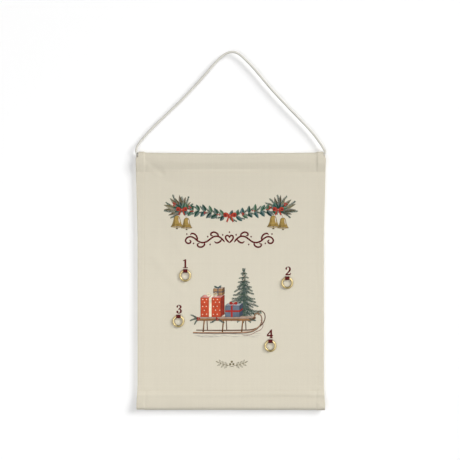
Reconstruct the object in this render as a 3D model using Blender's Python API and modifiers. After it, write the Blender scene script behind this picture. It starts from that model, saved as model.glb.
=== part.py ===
"""Cloth wall hanging for the Sundays before a feast: a canvas panel between two wooden dowels,
hung from a cord, with four brass rings lashed under the numbers 1 to 4.

Metres. X is the width, -Y faces the viewer, +Z is up. The origin is the underside of the
hanging cord at its highest point, where the hook carries it.
"""

import math

import bpy
from mathutils import Vector

# Cloth panel
PANEL_WIDTH = 0.350
PANEL_HEIGHT = 0.480
CORD_RISE = 0.1866
CLOTH_THICKNESS = 0.0006
HEM_THICKNESS = 0.0015
HEM_WIDTH = 0.013
HEM_FOLD_STEP = 0.0012
TOP_EDGE_FLARE = 0.0025
BOTTOM_EDGE_FLARE = 0.0008
EDGE_FLARE_DROP = 0.060
MOUTH_INSET = 0.0025

# Casings, measured from the dowel's axis
CASING_HEIGHT = 0.036
CASING_GAP = 0.0005
WALL_STANDOFF = 0.0071
BACK_FLAT_START = 0.0015
BACK_FLAT_END = 0.0145
SHEET_SETFORWARD = 0.0016
FLAP_PAST_SEAM = 0.0025
CORNER_LIFT = 0.0006

# Folds in the cloth
CORNER_CREASE_DEPTH = 0.0012
CORNER_CREASE_WIDTH = 0.0060
BOTTOM_FOLD_DEPTH = 0.0009
BOTTOM_FOLD_WIDTH = 0.0055
BOTTOM_FOLD_RISE = 0.021

# Dowels
DOWEL_DIAMETER = 0.010
DOWEL_END_GAP = 0.002
DOWEL_END_CHAMFER = 0.0006
CORD_HOLE_DEPTH = 0.012

# Hanging cord
CORD_DIAMETER = 0.0045
CORD_BEND_SPACING = 0.0042
CORD_RUN_SPACING = 0.0100
CORD_BEND_REACH = 0.045
CORD_SAMPLE_STEP = 0.0002

# Rings and the thread that lashes them on
RING_OUTER_DIAMETER = 0.0225
RING_WIRE_DIAMETER = 0.0040
LASHING_WIDTH = 0.0070
LASHING_THICKNESS = 0.00055
LASHING_WIRE_GAP = 0.00025

# Numbers
NUMBER_HEIGHT = 0.0162
NUMBER_THICKNESS = 0.0005
NUMBER_RISE = 0.0054

# Sewing thread
THREAD_DIAMETER = 0.0006
THREAD_END_INSET = 0.003

# Gap left between touching pieces
TOUCH_GAP = 0.0003

# Extra length of a cutter past the face that it cuts
CUTTER_OVERRUN = 0.002

# Worked out from the sizes above
DOWEL_RADIUS = DOWEL_DIAMETER / 2
DOWEL_LENGTH = PANEL_WIDTH - 2 * (HEM_WIDTH + DOWEL_END_GAP)
CASING_RADIUS = DOWEL_RADIUS + CASING_GAP + CLOTH_THICKNESS
TOP_AXIS_Z = -CORD_RISE - CASING_RADIUS
BOTTOM_AXIS_Z = -CORD_RISE - PANEL_HEIGHT + CASING_RADIUS
SEAM_DROP = CASING_HEIGHT - CASING_RADIUS
SHEET_TOP_Z = TOP_AXIS_Z - SEAM_DROP
SHEET_BOTTOM_Z = BOTTOM_AXIS_Z + SEAM_DROP
HEM_FOLD_X = PANEL_WIDTH / 2 - HEM_WIDTH
SINGLE_CLOTH_X = HEM_FOLD_X - HEM_FOLD_STEP
RING_WIRE_RADIUS = RING_WIRE_DIAMETER / 2
RING_MEAN_RADIUS = (RING_OUTER_DIAMETER - RING_WIRE_DIAMETER) / 2
# The curved wire swings inside the straight lashing, so its hinge lies halfway between the
# ring's top and the ring's hole at the lashing's ends
RING_HOLE_RADIUS = RING_OUTER_DIAMETER / 2 - RING_WIRE_DIAMETER
RING_HOLE_AT_LASHING = math.sqrt(RING_HOLE_RADIUS ** 2 - (LASHING_WIDTH / 2) ** 2)
RING_HINGE_RISE = (RING_OUTER_DIAMETER / 2 + RING_HOLE_AT_LASHING) / 2
RING_TURN_RADIUS = RING_OUTER_DIAMETER / 2 - RING_HINGE_RISE

# Where each ring's hinge lies, as shares of the panel's half width from its centre line
# and of the panel's height from its top edge
RING_PLACE_SHARES = {
    1: (-0.485, 0.459),
    2: (0.602, 0.487),
    3: (-0.558, 0.636),
    4: (0.422, 0.732),
}
# How far each number stands to the side of its ring, as a share of the number's height
NUMBER_SIDESTEP_SHARES = {1: 0.0, 2: 0.10, 3: 0.06, 4: -0.05}

# The cord's route from one dowel end over the hook to the other: x and z of each point
CORD_ROUTE = [
    (-0.1483, -0.1927), (-0.1560, -0.1927), (-0.1640, -0.1926), (-0.1700, -0.1918),
    (-0.1746, -0.1888), (-0.1765, -0.1840), (-0.1759, -0.1770), (-0.1716, -0.1688),
    (-0.1653, -0.1602), (-0.1541, -0.1466), (-0.1428, -0.1344), (-0.1204, -0.1129),
    (-0.0979, -0.0912), (-0.0754, -0.0681), (-0.0530, -0.0434), (-0.0305, -0.0176),
    (-0.0193, -0.0068), (-0.0090, -0.0001), (0.0000, 0.00225), (0.0085, 0.0012),
    (0.0182, -0.0048), (0.0406, -0.0268), (0.0631, -0.0534), (0.0855, -0.0790),
    (0.1080, -0.1028), (0.1305, -0.1260), (0.1529, -0.1503), (0.1642, -0.1651),
    (0.1724, -0.1768), (0.1762, -0.1842), (0.1744, -0.1889), (0.1700, -0.1918),
    (0.1640, -0.1926), (0.1560, -0.1927), (0.1483, -0.1927),
]

# Columns of the cloth between the hems, as shares of the single cloth's half width
COLUMN_SHARES = [0.91, 0.78, 0.58, 0.30]
# Straight steps of each quarter turn of cloth round a dowel
QUARTER_STEPS = 3
# Front of a casing from the dowel's axis to its seam: shares of the drop, and of the way
# from the bulge round the dowel to the sheet
CASING_FRONT_SHARES = [(0.12, -0.02), (0.30, 0.02), (0.52, 0.26), (0.76, 0.66)]
# Rows of the sheet between the seams, as shares of the way down
SHEET_ROW_SHARES = [0.06, 0.16, 0.30, 0.45, 0.60, 0.75, 0.88, 0.95]

# Outlines of the numbers, as shares of the number's height from its foot's middle
NUMBER_OUTLINE_SHARES = {
    1: [
        (-0.31, 0.0), (0.31, 0.0), (0.31, 0.06), (0.13, 0.09), (0.10, 0.13), (0.10, 1.0),
        (0.0, 1.0), (-0.29, 0.86), (-0.27, 0.79), (-0.10, 0.83), (-0.10, 0.13),
        (-0.13, 0.09), (-0.31, 0.06),
    ],
    2: [
        (-0.32, 0.0), (0.30, 0.0), (0.34, 0.27), (0.28, 0.27), (0.22, 0.15), (-0.08, 0.15),
        (0.17, 0.37), (0.30, 0.52), (0.33, 0.70), (0.29, 0.85), (0.18, 0.96), (0.01, 1.0),
        (-0.17, 0.96), (-0.28, 0.85), (-0.30, 0.72), (-0.24, 0.63), (-0.13, 0.65),
        (-0.10, 0.75), (-0.15, 0.84), (-0.08, 0.91), (0.02, 0.92), (0.10, 0.86),
        (0.12, 0.70), (0.08, 0.55), (-0.04, 0.38), (-0.32, 0.09),
    ],
    3: [
        (-0.30, 0.16), (-0.23, 0.05), (-0.08, 0.0), (0.09, 0.0), (0.24, 0.06), (0.33, 0.18),
        (0.33, 0.34), (0.24, 0.47), (0.13, 0.53), (0.24, 0.60), (0.30, 0.73), (0.27, 0.87),
        (0.15, 0.97), (-0.02, 1.0), (-0.18, 0.96), (-0.27, 0.86), (-0.28, 0.75),
        (-0.21, 0.67), (-0.11, 0.70), (-0.09, 0.79), (-0.13, 0.86), (-0.05, 0.92),
        (0.03, 0.91), (0.09, 0.85), (0.11, 0.74), (0.07, 0.63), (-0.02, 0.57),
        (-0.09, 0.56), (-0.09, 0.47), (0.01, 0.47), (0.10, 0.42), (0.13, 0.30),
        (0.10, 0.16), (0.02, 0.09), (-0.06, 0.09), (-0.12, 0.14), (-0.08, 0.21),
        (-0.10, 0.30), (-0.20, 0.34), (-0.29, 0.28),
    ],
    4: [
        (-0.05, 0.0), (0.36, 0.0), (0.36, 0.07), (0.25, 0.10), (0.25, 0.23), (0.38, 0.23),
        (0.38, 0.36), (0.25, 0.36), (0.25, 1.0), (0.13, 1.0), (-0.36, 0.37), (-0.36, 0.23),
        (0.06, 0.23), (0.06, 0.10), (-0.05, 0.07),
    ],
}
# The counter of the 4, in the same shares
NUMBER_COUNTER_SHARES = {4: [(0.06, 0.36), (-0.20, 0.36), (0.06, 0.70)]}

DOWEL_SIDES = 24
RING_SEGMENTS = 36
RING_WIRE_SIDES = 10
LASHING_ARC_STEPS = 8


def clear_scene():
    for thing in list(bpy.data.objects):
        bpy.data.objects.remove(thing, do_unlink=True)


def make_collection(name):
    group = bpy.data.collections.new(name)
    bpy.context.scene.collection.children.link(group)
    return group


def make_material(name, colour, roughness, metallic=0.0):
    material = bpy.data.materials.new(name)
    material.use_nodes = True
    shader = material.node_tree.nodes["Principled BSDF"]
    shader.inputs["Base Color"].default_value = (*colour, 1.0)
    shader.inputs["Roughness"].default_value = roughness
    shader.inputs["Metallic"].default_value = metallic
    material.diffuse_color = (*colour, 1.0)
    return material


def move_to(thing, group):
    for holder in list(thing.users_collection):
        holder.objects.unlink(thing)
    group.objects.link(thing)


def add_part(thing, name, material, pivot=None):
    """Name a piece, give it its material and hang it on its pivot without moving it."""
    thing.name = name
    thing.data.name = name
    thing.data.materials.clear()
    thing.data.materials.append(material)
    move_to(thing, PARTS)
    if pivot:
        hang_on(thing, pivot)


def add_pivot(name, place, parent=None):
    """An empty on a joint's axis, which carries the pieces that move with the joint."""
    pivot = bpy.data.objects.new(name, None)
    pivot.empty_display_size = DOWEL_DIAMETER
    PARTS.objects.link(pivot)
    pivot["place"] = list(place)
    pivot.location = place
    if parent:
        hang_on(pivot, parent)
    return pivot


def hang_on(thing, pivot):
    thing.parent = pivot
    thing.location = Vector(thing.location) - Vector(pivot["place"])


def add_cutter(thing, name):
    thing.name = name
    move_to(thing, CUTTERS)
    thing.hide_render = True
    thing.display_type = "WIRE"


def cut(target, cutter):
    change = target.modifiers.new(cutter.name, "BOOLEAN")
    change.operation = "DIFFERENCE"
    change.solver = "EXACT"
    change.object = cutter


def ease(share):
    """Smooth step from 0 to 1."""
    share = min(max(share, 0.0), 1.0)
    return share * share * (3.0 - 2.0 * share)


def ridge(distance, width):
    return math.exp(-(distance / width) ** 2)


def distance_to_line(x, z, start, end):
    """Distance from (x, z) to the stretch from start to end."""
    line = Vector((end[0] - start[0], end[1] - start[1]))
    offset = Vector((x - start[0], z - start[1]))
    share = min(max(offset.dot(line) / line.length_squared, 0.0), 1.0)
    return (offset - line * share).length


def fold_forward(x, z):
    """How far the folds push the front cloth towards the viewer."""
    crease = 0.0
    for side in (-1, 1):
        start = (side * PANEL_WIDTH / 2, TOP_AXIS_Z - DOWEL_RADIUS)
        end = (side * (HEM_FOLD_X - CASING_HEIGHT), SHEET_TOP_Z)
        crease += ridge(distance_to_line(x, z, start, end), CORNER_CREASE_WIDTH)
    below = -CORD_RISE - PANEL_HEIGHT + BOTTOM_FOLD_RISE
    reach = ease(x / HEM_FOLD_X + 0.5)
    hollow = ridge(z - below, BOTTOM_FOLD_WIDTH) * reach
    return CORNER_CREASE_DEPTH * crease - BOTTOM_FOLD_DEPTH * hollow


def casing_section(thickness, lift):
    """Outer face of a casing in section, from the flap's end round the dowel to the seam.

    Each point is (y, rise, folded): the rise is measured from the dowel's axis towards the
    panel's outer edge, and the folds show on the front cloth alone.
    """
    outer = DOWEL_RADIUS + CASING_GAP + thickness
    flap_y = 2 * thickness + TOUCH_GAP - SHEET_SETFORWARD
    points = [
        (flap_y, -SEAM_DROP - FLAP_PAST_SEAM, False),
        (flap_y, -SEAM_DROP, False),
        (WALL_STANDOFF, -BACK_FLAT_END, False),
        (WALL_STANDOFF, -(BACK_FLAT_START + BACK_FLAT_END) / 2, False),
        (WALL_STANDOFF, -BACK_FLAT_START, False),
    ]
    for step in range(1, QUARTER_STEPS + 1):
        turn = math.pi / 2 * step / QUARTER_STEPS
        points.append((WALL_STANDOFF * math.cos(turn), (outer + lift) * math.sin(turn), False))
    for step in range(1, QUARTER_STEPS + 1):
        turn = math.pi / 2 * step / QUARTER_STEPS
        points.append((-outer * math.sin(turn), (outer + lift) * math.cos(turn), False))
    for drop_share, inward_share in CASING_FRONT_SHARES:
        y = -outer + (outer - SHEET_SETFORWARD) * inward_share
        points.append((y, -SEAM_DROP * drop_share, True))
    points.append((-SHEET_SETFORWARD, -SEAM_DROP, True))
    return points


def column_places():
    """The cloth's columns from left to right: (side, distance from the middle, thickness).

    The outermost columns follow the panel's edge, so their distance is None.
    """
    half = [(None, HEM_THICKNESS), (HEM_FOLD_X, HEM_THICKNESS), (SINGLE_CLOTH_X, CLOTH_THICKNESS)]
    half += [(share * SINGLE_CLOTH_X, CLOTH_THICKNESS) for share in COLUMN_SHARES]
    left = [(-1, across, thickness) for across, thickness in half]
    right = [(1, across, thickness) for across, thickness in reversed(half)]
    return left + [(1, 0.0, CLOTH_THICKNESS)] + right


def edge_half_width(z):
    """Half the panel's width at a height: the corners flare a little."""
    top = ease(1.0 - (TOP_AXIS_Z - z) / EDGE_FLARE_DROP)
    bottom = ease(1.0 - (z - BOTTOM_AXIS_Z) / EDGE_FLARE_DROP)
    return PANEL_WIDTH / 2 + TOP_EDGE_FLARE * top + BOTTOM_EDGE_FLARE * bottom


def cloth_rows(thickness):
    """The outer face of one column of cloth from the top flap to the bottom one.

    Each row is (y, z, folded, beside the cord).
    """
    lift = CORNER_LIFT if thickness == HEM_THICKNESS else 0.0
    top = casing_section(thickness, lift)
    bottom = casing_section(thickness, 0.0)
    rows = []
    for y, rise, folded in top:
        beside_cord = y < CORD_DIAMETER and rise > -CORD_DIAMETER
        rows.append((y, TOP_AXIS_Z + rise, folded, beside_cord))
    for share in SHEET_ROW_SHARES:
        z = SHEET_TOP_Z + (SHEET_BOTTOM_Z - SHEET_TOP_Z) * share
        rows.append((-SHEET_SETFORWARD, z, True, False))
    for y, rise, folded in reversed(bottom):
        rows.append((y, BOTTOM_AXIS_Z - rise, folded, False))
    return rows


def cloth_point(column, row):
    """A point on the cloth's outer face, at whole numbers of a column and a row."""
    side, across, thickness = column
    y, z, folded, beside_cord = cloth_rows(thickness)[row]
    if across is None:
        across = PANEL_WIDTH / 2 - MOUTH_INSET if beside_cord else edge_half_width(z)
    if folded:
        y -= fold_forward(side * across, z)
    return Vector((side * across, y, z))


def between(column_a, column_b, share, row):
    return cloth_point(column_a, row).lerp(cloth_point(column_b, row), share)


def make_canvas():
    """The canvas as one strip that wraps both dowels, given its thickness by Solidify."""
    columns = column_places()
    row_count = len(cloth_rows(CLOTH_THICKNESS))
    bpy.ops.mesh.primitive_grid_add(
        x_subdivisions=len(columns) - 1, y_subdivisions=row_count - 1, size=1.0, location=(0, 0, 0)
    )
    cloth = bpy.context.object
    thick = cloth.vertex_groups.new(name="layers")
    for vertex in cloth.data.vertices:
        column = columns[round((vertex.co.x + 0.5) * (len(columns) - 1))]
        row = round((0.5 - vertex.co.y) * (row_count - 1))
        vertex.co = cloth_point(column, row)
        thick.add([vertex.index], column[2] / HEM_THICKNESS, "REPLACE")
    wall = cloth.modifiers.new("cloth thickness", "SOLIDIFY")
    wall.thickness = HEM_THICKNESS
    wall.offset = -1.0
    wall.use_even_offset = True
    wall.vertex_group = thick.name
    wall.thickness_vertex_group = 0.0
    add_part(cloth, "canvas_panel", CANVAS, PANEL_PIVOT)
    return cloth


def ring_place(number):
    """The hinge of a ring: inside its wire at its top, in front of the cloth."""
    share_x, share_z = RING_PLACE_SHARES[number]
    y = -SHEET_SETFORWARD - TOUCH_GAP - RING_TURN_RADIUS
    return Vector((share_x * PANEL_WIDTH / 2, y, -CORD_RISE - share_z * PANEL_HEIGHT))


def make_ring(number, pivot):
    place = ring_place(number)
    bpy.ops.mesh.primitive_torus_add(
        major_radius=RING_MEAN_RADIUS,
        minor_radius=RING_WIRE_RADIUS,
        major_segments=RING_SEGMENTS,
        minor_segments=RING_WIRE_SIDES,
        location=place - Vector((0, 0, RING_HINGE_RISE)),
        rotation=(math.pi / 2, 0, 0),
    )
    ring = bpy.context.object
    ring.data.shade_smooth()
    add_part(ring, f"ring_{number}", BRASS, pivot)


def lashing_outline(radius, back):
    """A half round in front of the hinge with two straight legs to the back, as (z, y) points."""
    arc = []
    for step in range(LASHING_ARC_STEPS + 1):
        turn = math.pi * step / LASHING_ARC_STEPS
        arc.append((radius * math.cos(turn), -radius * math.sin(turn)))
    return [(radius, back)] + arc + [(-radius, back)]


def add_flat_curve(name, outlines, thickness):
    """A flat filled outline in the curve's own XY plane, with its holes, given a thickness."""
    shape = bpy.data.curves.new(name, "CURVE")
    shape.dimensions = "2D"
    shape.fill_mode = "BOTH"
    shape.extrude = thickness / 2
    for outline in outlines:
        line = shape.splines.new("POLY")
        line.points.add(len(outline) - 1)
        for point, (across, up) in zip(line.points, outline):
            point.co = (across, up, 0, 1)
        line.use_cyclic_u = True
    thing = bpy.data.objects.new(name, shape)
    bpy.context.scene.collection.objects.link(thing)
    return thing


def make_lashing(number, canvas):
    """A band of thread that goes round the ring's wire and through two slots in the cloth."""
    place = ring_place(number)
    inner = RING_TURN_RADIUS + LASHING_WIRE_GAP
    outer = inner + LASHING_THICKNESS
    cloth_back = -SHEET_SETFORWARD - place.y + CLOTH_THICKNESS
    inner_back = cloth_back + TOUCH_GAP
    outer_back = inner_back + LASHING_THICKNESS
    outlines = [lashing_outline(outer, outer_back), lashing_outline(inner, inner_back)]
    band = add_flat_curve(f"ring_stitch_{number}", outlines, LASHING_WIDTH)
    # The outline's first axis turns upright, and its thickness runs along the wire
    band.rotation_euler = (0, -math.pi / 2, 0)
    band.location = place
    add_part(band, f"ring_stitch_{number}", RED_THREAD, PANEL_PIVOT)
    for side in (-1, 1):
        middle = place + Vector((0, cloth_back - CLOTH_THICKNESS / 2, side * (inner + outer) / 2))
        bpy.ops.mesh.primitive_cube_add(size=1.0, location=middle)
        slot = bpy.context.object
        slot.scale = (
            LASHING_WIDTH + 2 * TOUCH_GAP,
            CLOTH_THICKNESS + CUTTER_OVERRUN,
            LASHING_THICKNESS + 2 * TOUCH_GAP,
        )
        add_cutter(slot, f"slot_{number}_{'low' if side < 0 else 'high'}")
        cut(canvas, slot)


def make_number(number):
    """A numeral of raised thread above its ring."""
    place = ring_place(number)
    outlines = [NUMBER_OUTLINE_SHARES[number]]
    if number in NUMBER_COUNTER_SHARES:
        outlines.append(NUMBER_COUNTER_SHARES[number])
    sized = [[(x * NUMBER_HEIGHT, z * NUMBER_HEIGHT) for x, z in line] for line in outlines]
    numeral = add_flat_curve(f"number_{number}", sized, NUMBER_THICKNESS)
    numeral.rotation_euler = (math.pi / 2, 0, 0)
    numeral.location = (
        place.x + NUMBER_SIDESTEP_SHARES[number] * NUMBER_HEIGHT,
        -SHEET_SETFORWARD - TOUCH_GAP - NUMBER_THICKNESS / 2,
        place.z + NUMBER_RISE,
    )
    add_part(numeral, f"number_{number}", RED_THREAD, PANEL_PIVOT)


def add_tube(name, points, diameter, sides_level):
    """A round tube along points, with closed ends."""
    path = bpy.data.curves.new(name, "CURVE")
    path.dimensions = "3D"
    path.bevel_depth = diameter / 2
    path.bevel_resolution = sides_level
    path.use_fill_caps = True
    line = path.splines.new("POLY")
    line.points.add(len(points) - 1)
    for point, place in zip(line.points, points):
        point.co = (*place, 1)
    thing = bpy.data.objects.new(name, path)
    bpy.context.scene.collection.objects.link(thing)
    return thing


def make_seam_thread(name, row):
    """A stitch line along one row of the cloth, just in front of it."""
    forward = Vector((0, -TOUCH_GAP - THREAD_DIAMETER / 2, 0))
    columns = column_places()
    inset_share = THREAD_END_INSET / HEM_WIDTH
    points = [between(columns[0], columns[1], inset_share, row)]
    points += [cloth_point(column, row) for column in columns[1:-1]]
    points.append(between(columns[-1], columns[-2], inset_share, row))
    thread = add_tube(name, [point + forward for point in points], THREAD_DIAMETER, 0)
    add_part(thread, name, CREAM_THREAD, PANEL_PIVOT)


def make_hem_thread(name, column, first_row, last_row):
    """A stitch line down the hem's fold, from just below one seam to just above the other."""
    forward = Vector((0, -TOUCH_GAP - THREAD_DIAMETER / 2, 0))
    points = [cloth_point(column, row) for row in range(first_row, last_row + 1)]
    clear = THREAD_DIAMETER + TOUCH_GAP
    points[0] = points[0].lerp(points[1], clear / (points[0] - points[1]).length)
    points[-1] = points[-1].lerp(points[-2], clear / (points[-1] - points[-2]).length)
    thread = add_tube(name, [point + forward for point in points], THREAD_DIAMETER, 0)
    add_part(thread, name, CREAM_THREAD, PANEL_PIVOT)


def make_dowel(name, axis_z, hole_radius, hole_depth, pivot):
    """A turned rod along X. Where a hole is asked for, each end has a blind one."""
    half = DOWEL_LENGTH / 2
    profile = [(DOWEL_RADIUS - DOWEL_END_CHAMFER, half), (DOWEL_RADIUS, half - DOWEL_END_CHAMFER)]
    if hole_depth:
        profile = [(0, half - hole_depth), (hole_radius, half - hole_depth), (hole_radius, half)] + profile
    else:
        profile = [(0, half)] + profile
    profile += [(radius, -height) for radius, height in reversed(profile)]
    mesh = bpy.data.meshes.new(name)
    places = [(radius, 0, height) for radius, height in profile]
    edges = [(index, index + 1) for index in range(len(places) - 1)]
    mesh.from_pydata(places, edges, [])
    rod = bpy.data.objects.new(name, mesh)
    bpy.context.scene.collection.objects.link(rod)
    turn = rod.modifiers.new("turned", "SCREW")
    turn.axis = "Z"
    turn.angle = 2 * math.pi
    turn.steps = turn.render_steps = DOWEL_SIDES
    turn.use_merge_vertices = True
    turn.merge_threshold = 0.00001
    rod.rotation_euler = (0, math.pi / 2, 0)
    rod.location = (0, 0, axis_z)
    add_part(rod, name, WOOD, pivot)


def smooth_curve(route):
    """Points close together on a smooth curve through the route's points."""
    places = [Vector((x, 0, z)) for x, z in route]
    places = [2 * places[0] - places[1]] + places + [2 * places[-1] - places[-2]]
    fine = []
    for a, b, c, d in zip(places, places[1:], places[2:], places[3:]):
        steps = max(2, round((c - b).length / CORD_SAMPLE_STEP))
        # The knots follow the distance between points, so uneven spacing makes no loops
        knot_b = (b - a).length ** 0.5
        knot_c = knot_b + (c - b).length ** 0.5
        knot_d = knot_c + (d - c).length ** 0.5
        for step in range(steps):
            t = knot_b + (knot_c - knot_b) * step / steps
            ab = a.lerp(b, t / knot_b)
            bc = b.lerp(c, (t - knot_b) / (knot_c - knot_b))
            cd = c.lerp(d, (t - knot_c) / (knot_d - knot_c))
            abc = ab.lerp(bc, t / knot_c)
            bcd = bc.lerp(cd, (t - knot_b) / (knot_d - knot_b))
            fine.append(abc.lerp(bcd, (t - knot_b) / (knot_c - knot_b)))
    fine.append(places[-2])
    return fine


def spaced(fine, length):
    """Thin a fine curve: close points near its two ends, where it bends, and wide ones between."""
    chosen = [fine[0]]
    travelled = since = 0.0
    for before, after in zip(fine, fine[1:]):
        step = (after - before).length
        travelled += step
        since += step
        near_end = min(travelled, length - travelled) < CORD_BEND_REACH
        if since >= (CORD_BEND_SPACING if near_end else CORD_RUN_SPACING):
            chosen.append(after)
            since = 0.0
    if (fine[-1] - chosen[-1]).length < CORD_BEND_SPACING / 2:
        chosen.pop()
    return chosen + [fine[-1]]


def make_cord():
    fine = smooth_curve(CORD_ROUTE)
    length = sum((b - a).length for a, b in zip(fine, fine[1:]))
    points = spaced(fine, length)
    cord = add_tube("hanging_cord", points, CORD_DIAMETER, 2)
    add_part(cord, "hanging_cord", CORD)
    print(f"hanging cord: {length:.4f} m long, {len(points)} points")


clear_scene()
PARTS = make_collection("advent_wall_hanging")
CUTTERS = make_collection("cutters")

CANVAS = make_material("cream_canvas", (0.72, 0.67, 0.56), 0.9)
CORD = make_material("cotton_cord", (0.66, 0.62, 0.53), 0.9)
CREAM_THREAD = make_material("cream_thread", (0.76, 0.71, 0.60), 0.8)
RED_THREAD = make_material("red_thread", (0.15, 0.01, 0.02), 0.7)
WOOD = make_material("beech_wood", (0.62, 0.43, 0.25), 0.6)
BRASS = make_material("brass", (0.78, 0.62, 0.33), 0.3, 1.0)

PANEL_PIVOT = add_pivot("panel_swing_axis", (0, 0, TOP_AXIS_Z))
BOTTOM_PIVOT = add_pivot("bottom_dowel_slide", (0, 0, BOTTOM_AXIS_Z), PANEL_PIVOT)

make_cord()
make_dowel("top_dowel", TOP_AXIS_Z, CORD_DIAMETER / 2 + TOUCH_GAP, CORD_HOLE_DEPTH, None)
make_dowel("bottom_dowel", BOTTOM_AXIS_Z, 0, 0, BOTTOM_PIVOT)
CLOTH = make_canvas()
for NUMBER in RING_PLACE_SHARES:
    RING_PIVOT = add_pivot(f"ring_{NUMBER}_hinge", ring_place(NUMBER), PANEL_PIVOT)
    make_ring(NUMBER, RING_PIVOT)
    make_lashing(NUMBER, CLOTH)
    make_number(NUMBER)

TOP_SEAM_ROW = len(casing_section(CLOTH_THICKNESS, 0.0)) - 1
BOTTOM_SEAM_ROW = TOP_SEAM_ROW + len(SHEET_ROW_SHARES) + 1
make_seam_thread("top_seam_thread", TOP_SEAM_ROW)
make_seam_thread("bottom_seam_thread", BOTTOM_SEAM_ROW)
make_hem_thread("left_hem_thread", column_places()[1], TOP_SEAM_ROW, BOTTOM_SEAM_ROW)
make_hem_thread("right_hem_thread", column_places()[-2], TOP_SEAM_ROW, BOTTOM_SEAM_ROW)
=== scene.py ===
"""Looks of a cloth wall hanging for the Sundays before a feast: canvas, cord, dowels, brass rings,
thread lashings, worked numbers and a printed design.

Metres. X is the width, -Y faces the viewer, +Z is up, and the hook is at the origin.
"""

import math
import random

import bmesh
import bpy
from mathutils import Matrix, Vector, noise
from mathutils.bvhtree import BVHTree


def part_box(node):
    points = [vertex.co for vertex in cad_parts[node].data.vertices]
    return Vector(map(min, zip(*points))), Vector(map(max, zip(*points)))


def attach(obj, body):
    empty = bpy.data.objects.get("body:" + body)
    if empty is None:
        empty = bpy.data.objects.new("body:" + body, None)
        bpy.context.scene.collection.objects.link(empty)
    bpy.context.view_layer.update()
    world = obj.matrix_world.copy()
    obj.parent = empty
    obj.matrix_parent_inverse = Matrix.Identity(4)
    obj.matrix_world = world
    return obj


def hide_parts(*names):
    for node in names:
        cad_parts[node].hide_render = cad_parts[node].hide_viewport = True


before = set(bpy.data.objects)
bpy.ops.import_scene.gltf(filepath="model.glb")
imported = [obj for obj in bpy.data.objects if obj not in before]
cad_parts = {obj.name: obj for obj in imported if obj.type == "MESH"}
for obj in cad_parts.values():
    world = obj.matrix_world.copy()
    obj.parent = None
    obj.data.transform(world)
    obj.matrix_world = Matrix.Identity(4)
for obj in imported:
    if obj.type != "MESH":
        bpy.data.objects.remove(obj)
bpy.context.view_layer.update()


# Places read from the frame, and lengths that several pieces share

def middle(node):
    low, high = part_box(node)
    return (low + high) / 2


def span(node, axis):
    low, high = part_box(node)
    return high[axis] - low[axis]


TOP_AXIS_Z = middle("top_dowel").z
BOTTOM_AXIS_Z = middle("bottom_dowel").z
DOWEL_RADIUS = span("top_dowel", 2) / 2
DOWEL_LENGTH = span("top_dowel", 0)
TOP_SEAM_Z = middle("top_seam_thread").z
BOTTOM_SEAM_Z = middle("bottom_seam_thread").z
HEM_LINE_X = middle("right_hem_thread").x
CLOTH_BACK_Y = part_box("canvas_panel")[1].y
RING_NUMBERS = (1, 2, 3, 4)
MILLIMETRE = 0.001
FINE_STEP = 0.0004
RAY_STEP = 0.00002
FORWARD = Vector((0, -1, 0))

# Cloth
PANEL_WIDTH = 0.3476
CLOTH_THICKNESS = 0.0005
CLOTH_SOLID_SHARE = 0.96
CASING_ROW = 0.0016
SHEET_ROW = 0.0040
SHEET_COLUMN = 0.0030
HEM_COLUMN_EASE = 0.0010
HEM_LAYERS = 3
HEM_THICKNESS = HEM_LAYERS * CLOTH_THICKNESS
HEM_TURN_IN = 0.0105
HEM_STEP_WIDTH = 0.0030
CASING_GAP = 0.0006
BACK_FLAT_START = 0.0015
BACK_FLAT_END = 0.0145
SHEET_FRONT_Y = -0.0016
FLAP_GAP = 0.0003
FLAP_PAST_SEAM = 0.0025
TOP_EDGE_FLARE = 0.0032
BOTTOM_EDGE_FLARE = 0.0018
TOP_FLARE_DROP = 0.170
BOTTOM_FLARE_RISE = 0.048
MOUTH_X = 0.1725
MOUTH_REACH = 0.0045
MOUTH_DROP = 0.0030
CORNER_LIFT = 0.0016
CASING_BOW = 0.0010
CASING_SAG = 0.00042
CORNER_PINCHES = {-1: 0.0014, 1: 0.0004}

# How the front of each casing leaves its dowel: share of the way to the seam, share of the way in
TOP_CASING_FRONT = [(0.12, -0.02), (0.38, 0.02), (0.56, 0.24), (0.76, 0.60), (0.90, 0.86)]
BOTTOM_CASING_FRONT = [(0.10, 0.0), (0.22, 0.10), (0.38, 0.50), (0.56, 0.88), (0.78, 1.0)]

# Folds and puckers of the cloth
CORNER_CREASE_DEPTHS = {-1: 0.0010, 1: 0.0005}
CORNER_CREASE_WIDTH = 0.0054
CORNER_CREASE_REACH = 0.034
CORNER_CREASE_INSET = 0.0075
CORNER_CREASE_DROP = 0.0100
CORNER_CREASE_PAST_SEAM = 0.0025
LOW_CREASE_WIDTH = 0.0035
LOW_CREASE_PAST_HEM = 0.004
LOW_CREASE_REACH = 0.018
LOW_CREASE_RISE = 0.004
# Soft creases of the slack cloth at the left: start, end, depth, width
SLACK_CREASES = [
    ((-0.1440, -0.3800), (-0.0900, -0.4460), 0.0006, 0.0095),
    ((-0.1267, -0.2970), (-0.0895, -0.3710), 0.0005, 0.0080),
]
# The cloth hangs a little full under the top seam, furthest down near the middle
SEAM_FULLNESS_SLOPE = 0.060
SEAM_FULLNESS_DROP = 0.036
SEAM_FULLNESS_SIDE = -0.002
SEAM_FULLNESS_REACH = 0.155
SEAM_FULLNESS_EASE = 0.006
BOTTOM_FOLD_DEPTH = 0.0016
BOTTOM_FOLD_WIDTH = 0.0044
BOTTOM_FOLD_RISE = 0.0205
BOTTOM_FOLD_SWAY = 0.002
BOTTOM_FOLD_SWAY_LENGTH = 0.045
LEFT_FULLNESS = 0.0012
LEFT_FULLNESS_WIDTH = 0.0075
LEFT_FULLNESS_DROP = 0.001
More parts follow.
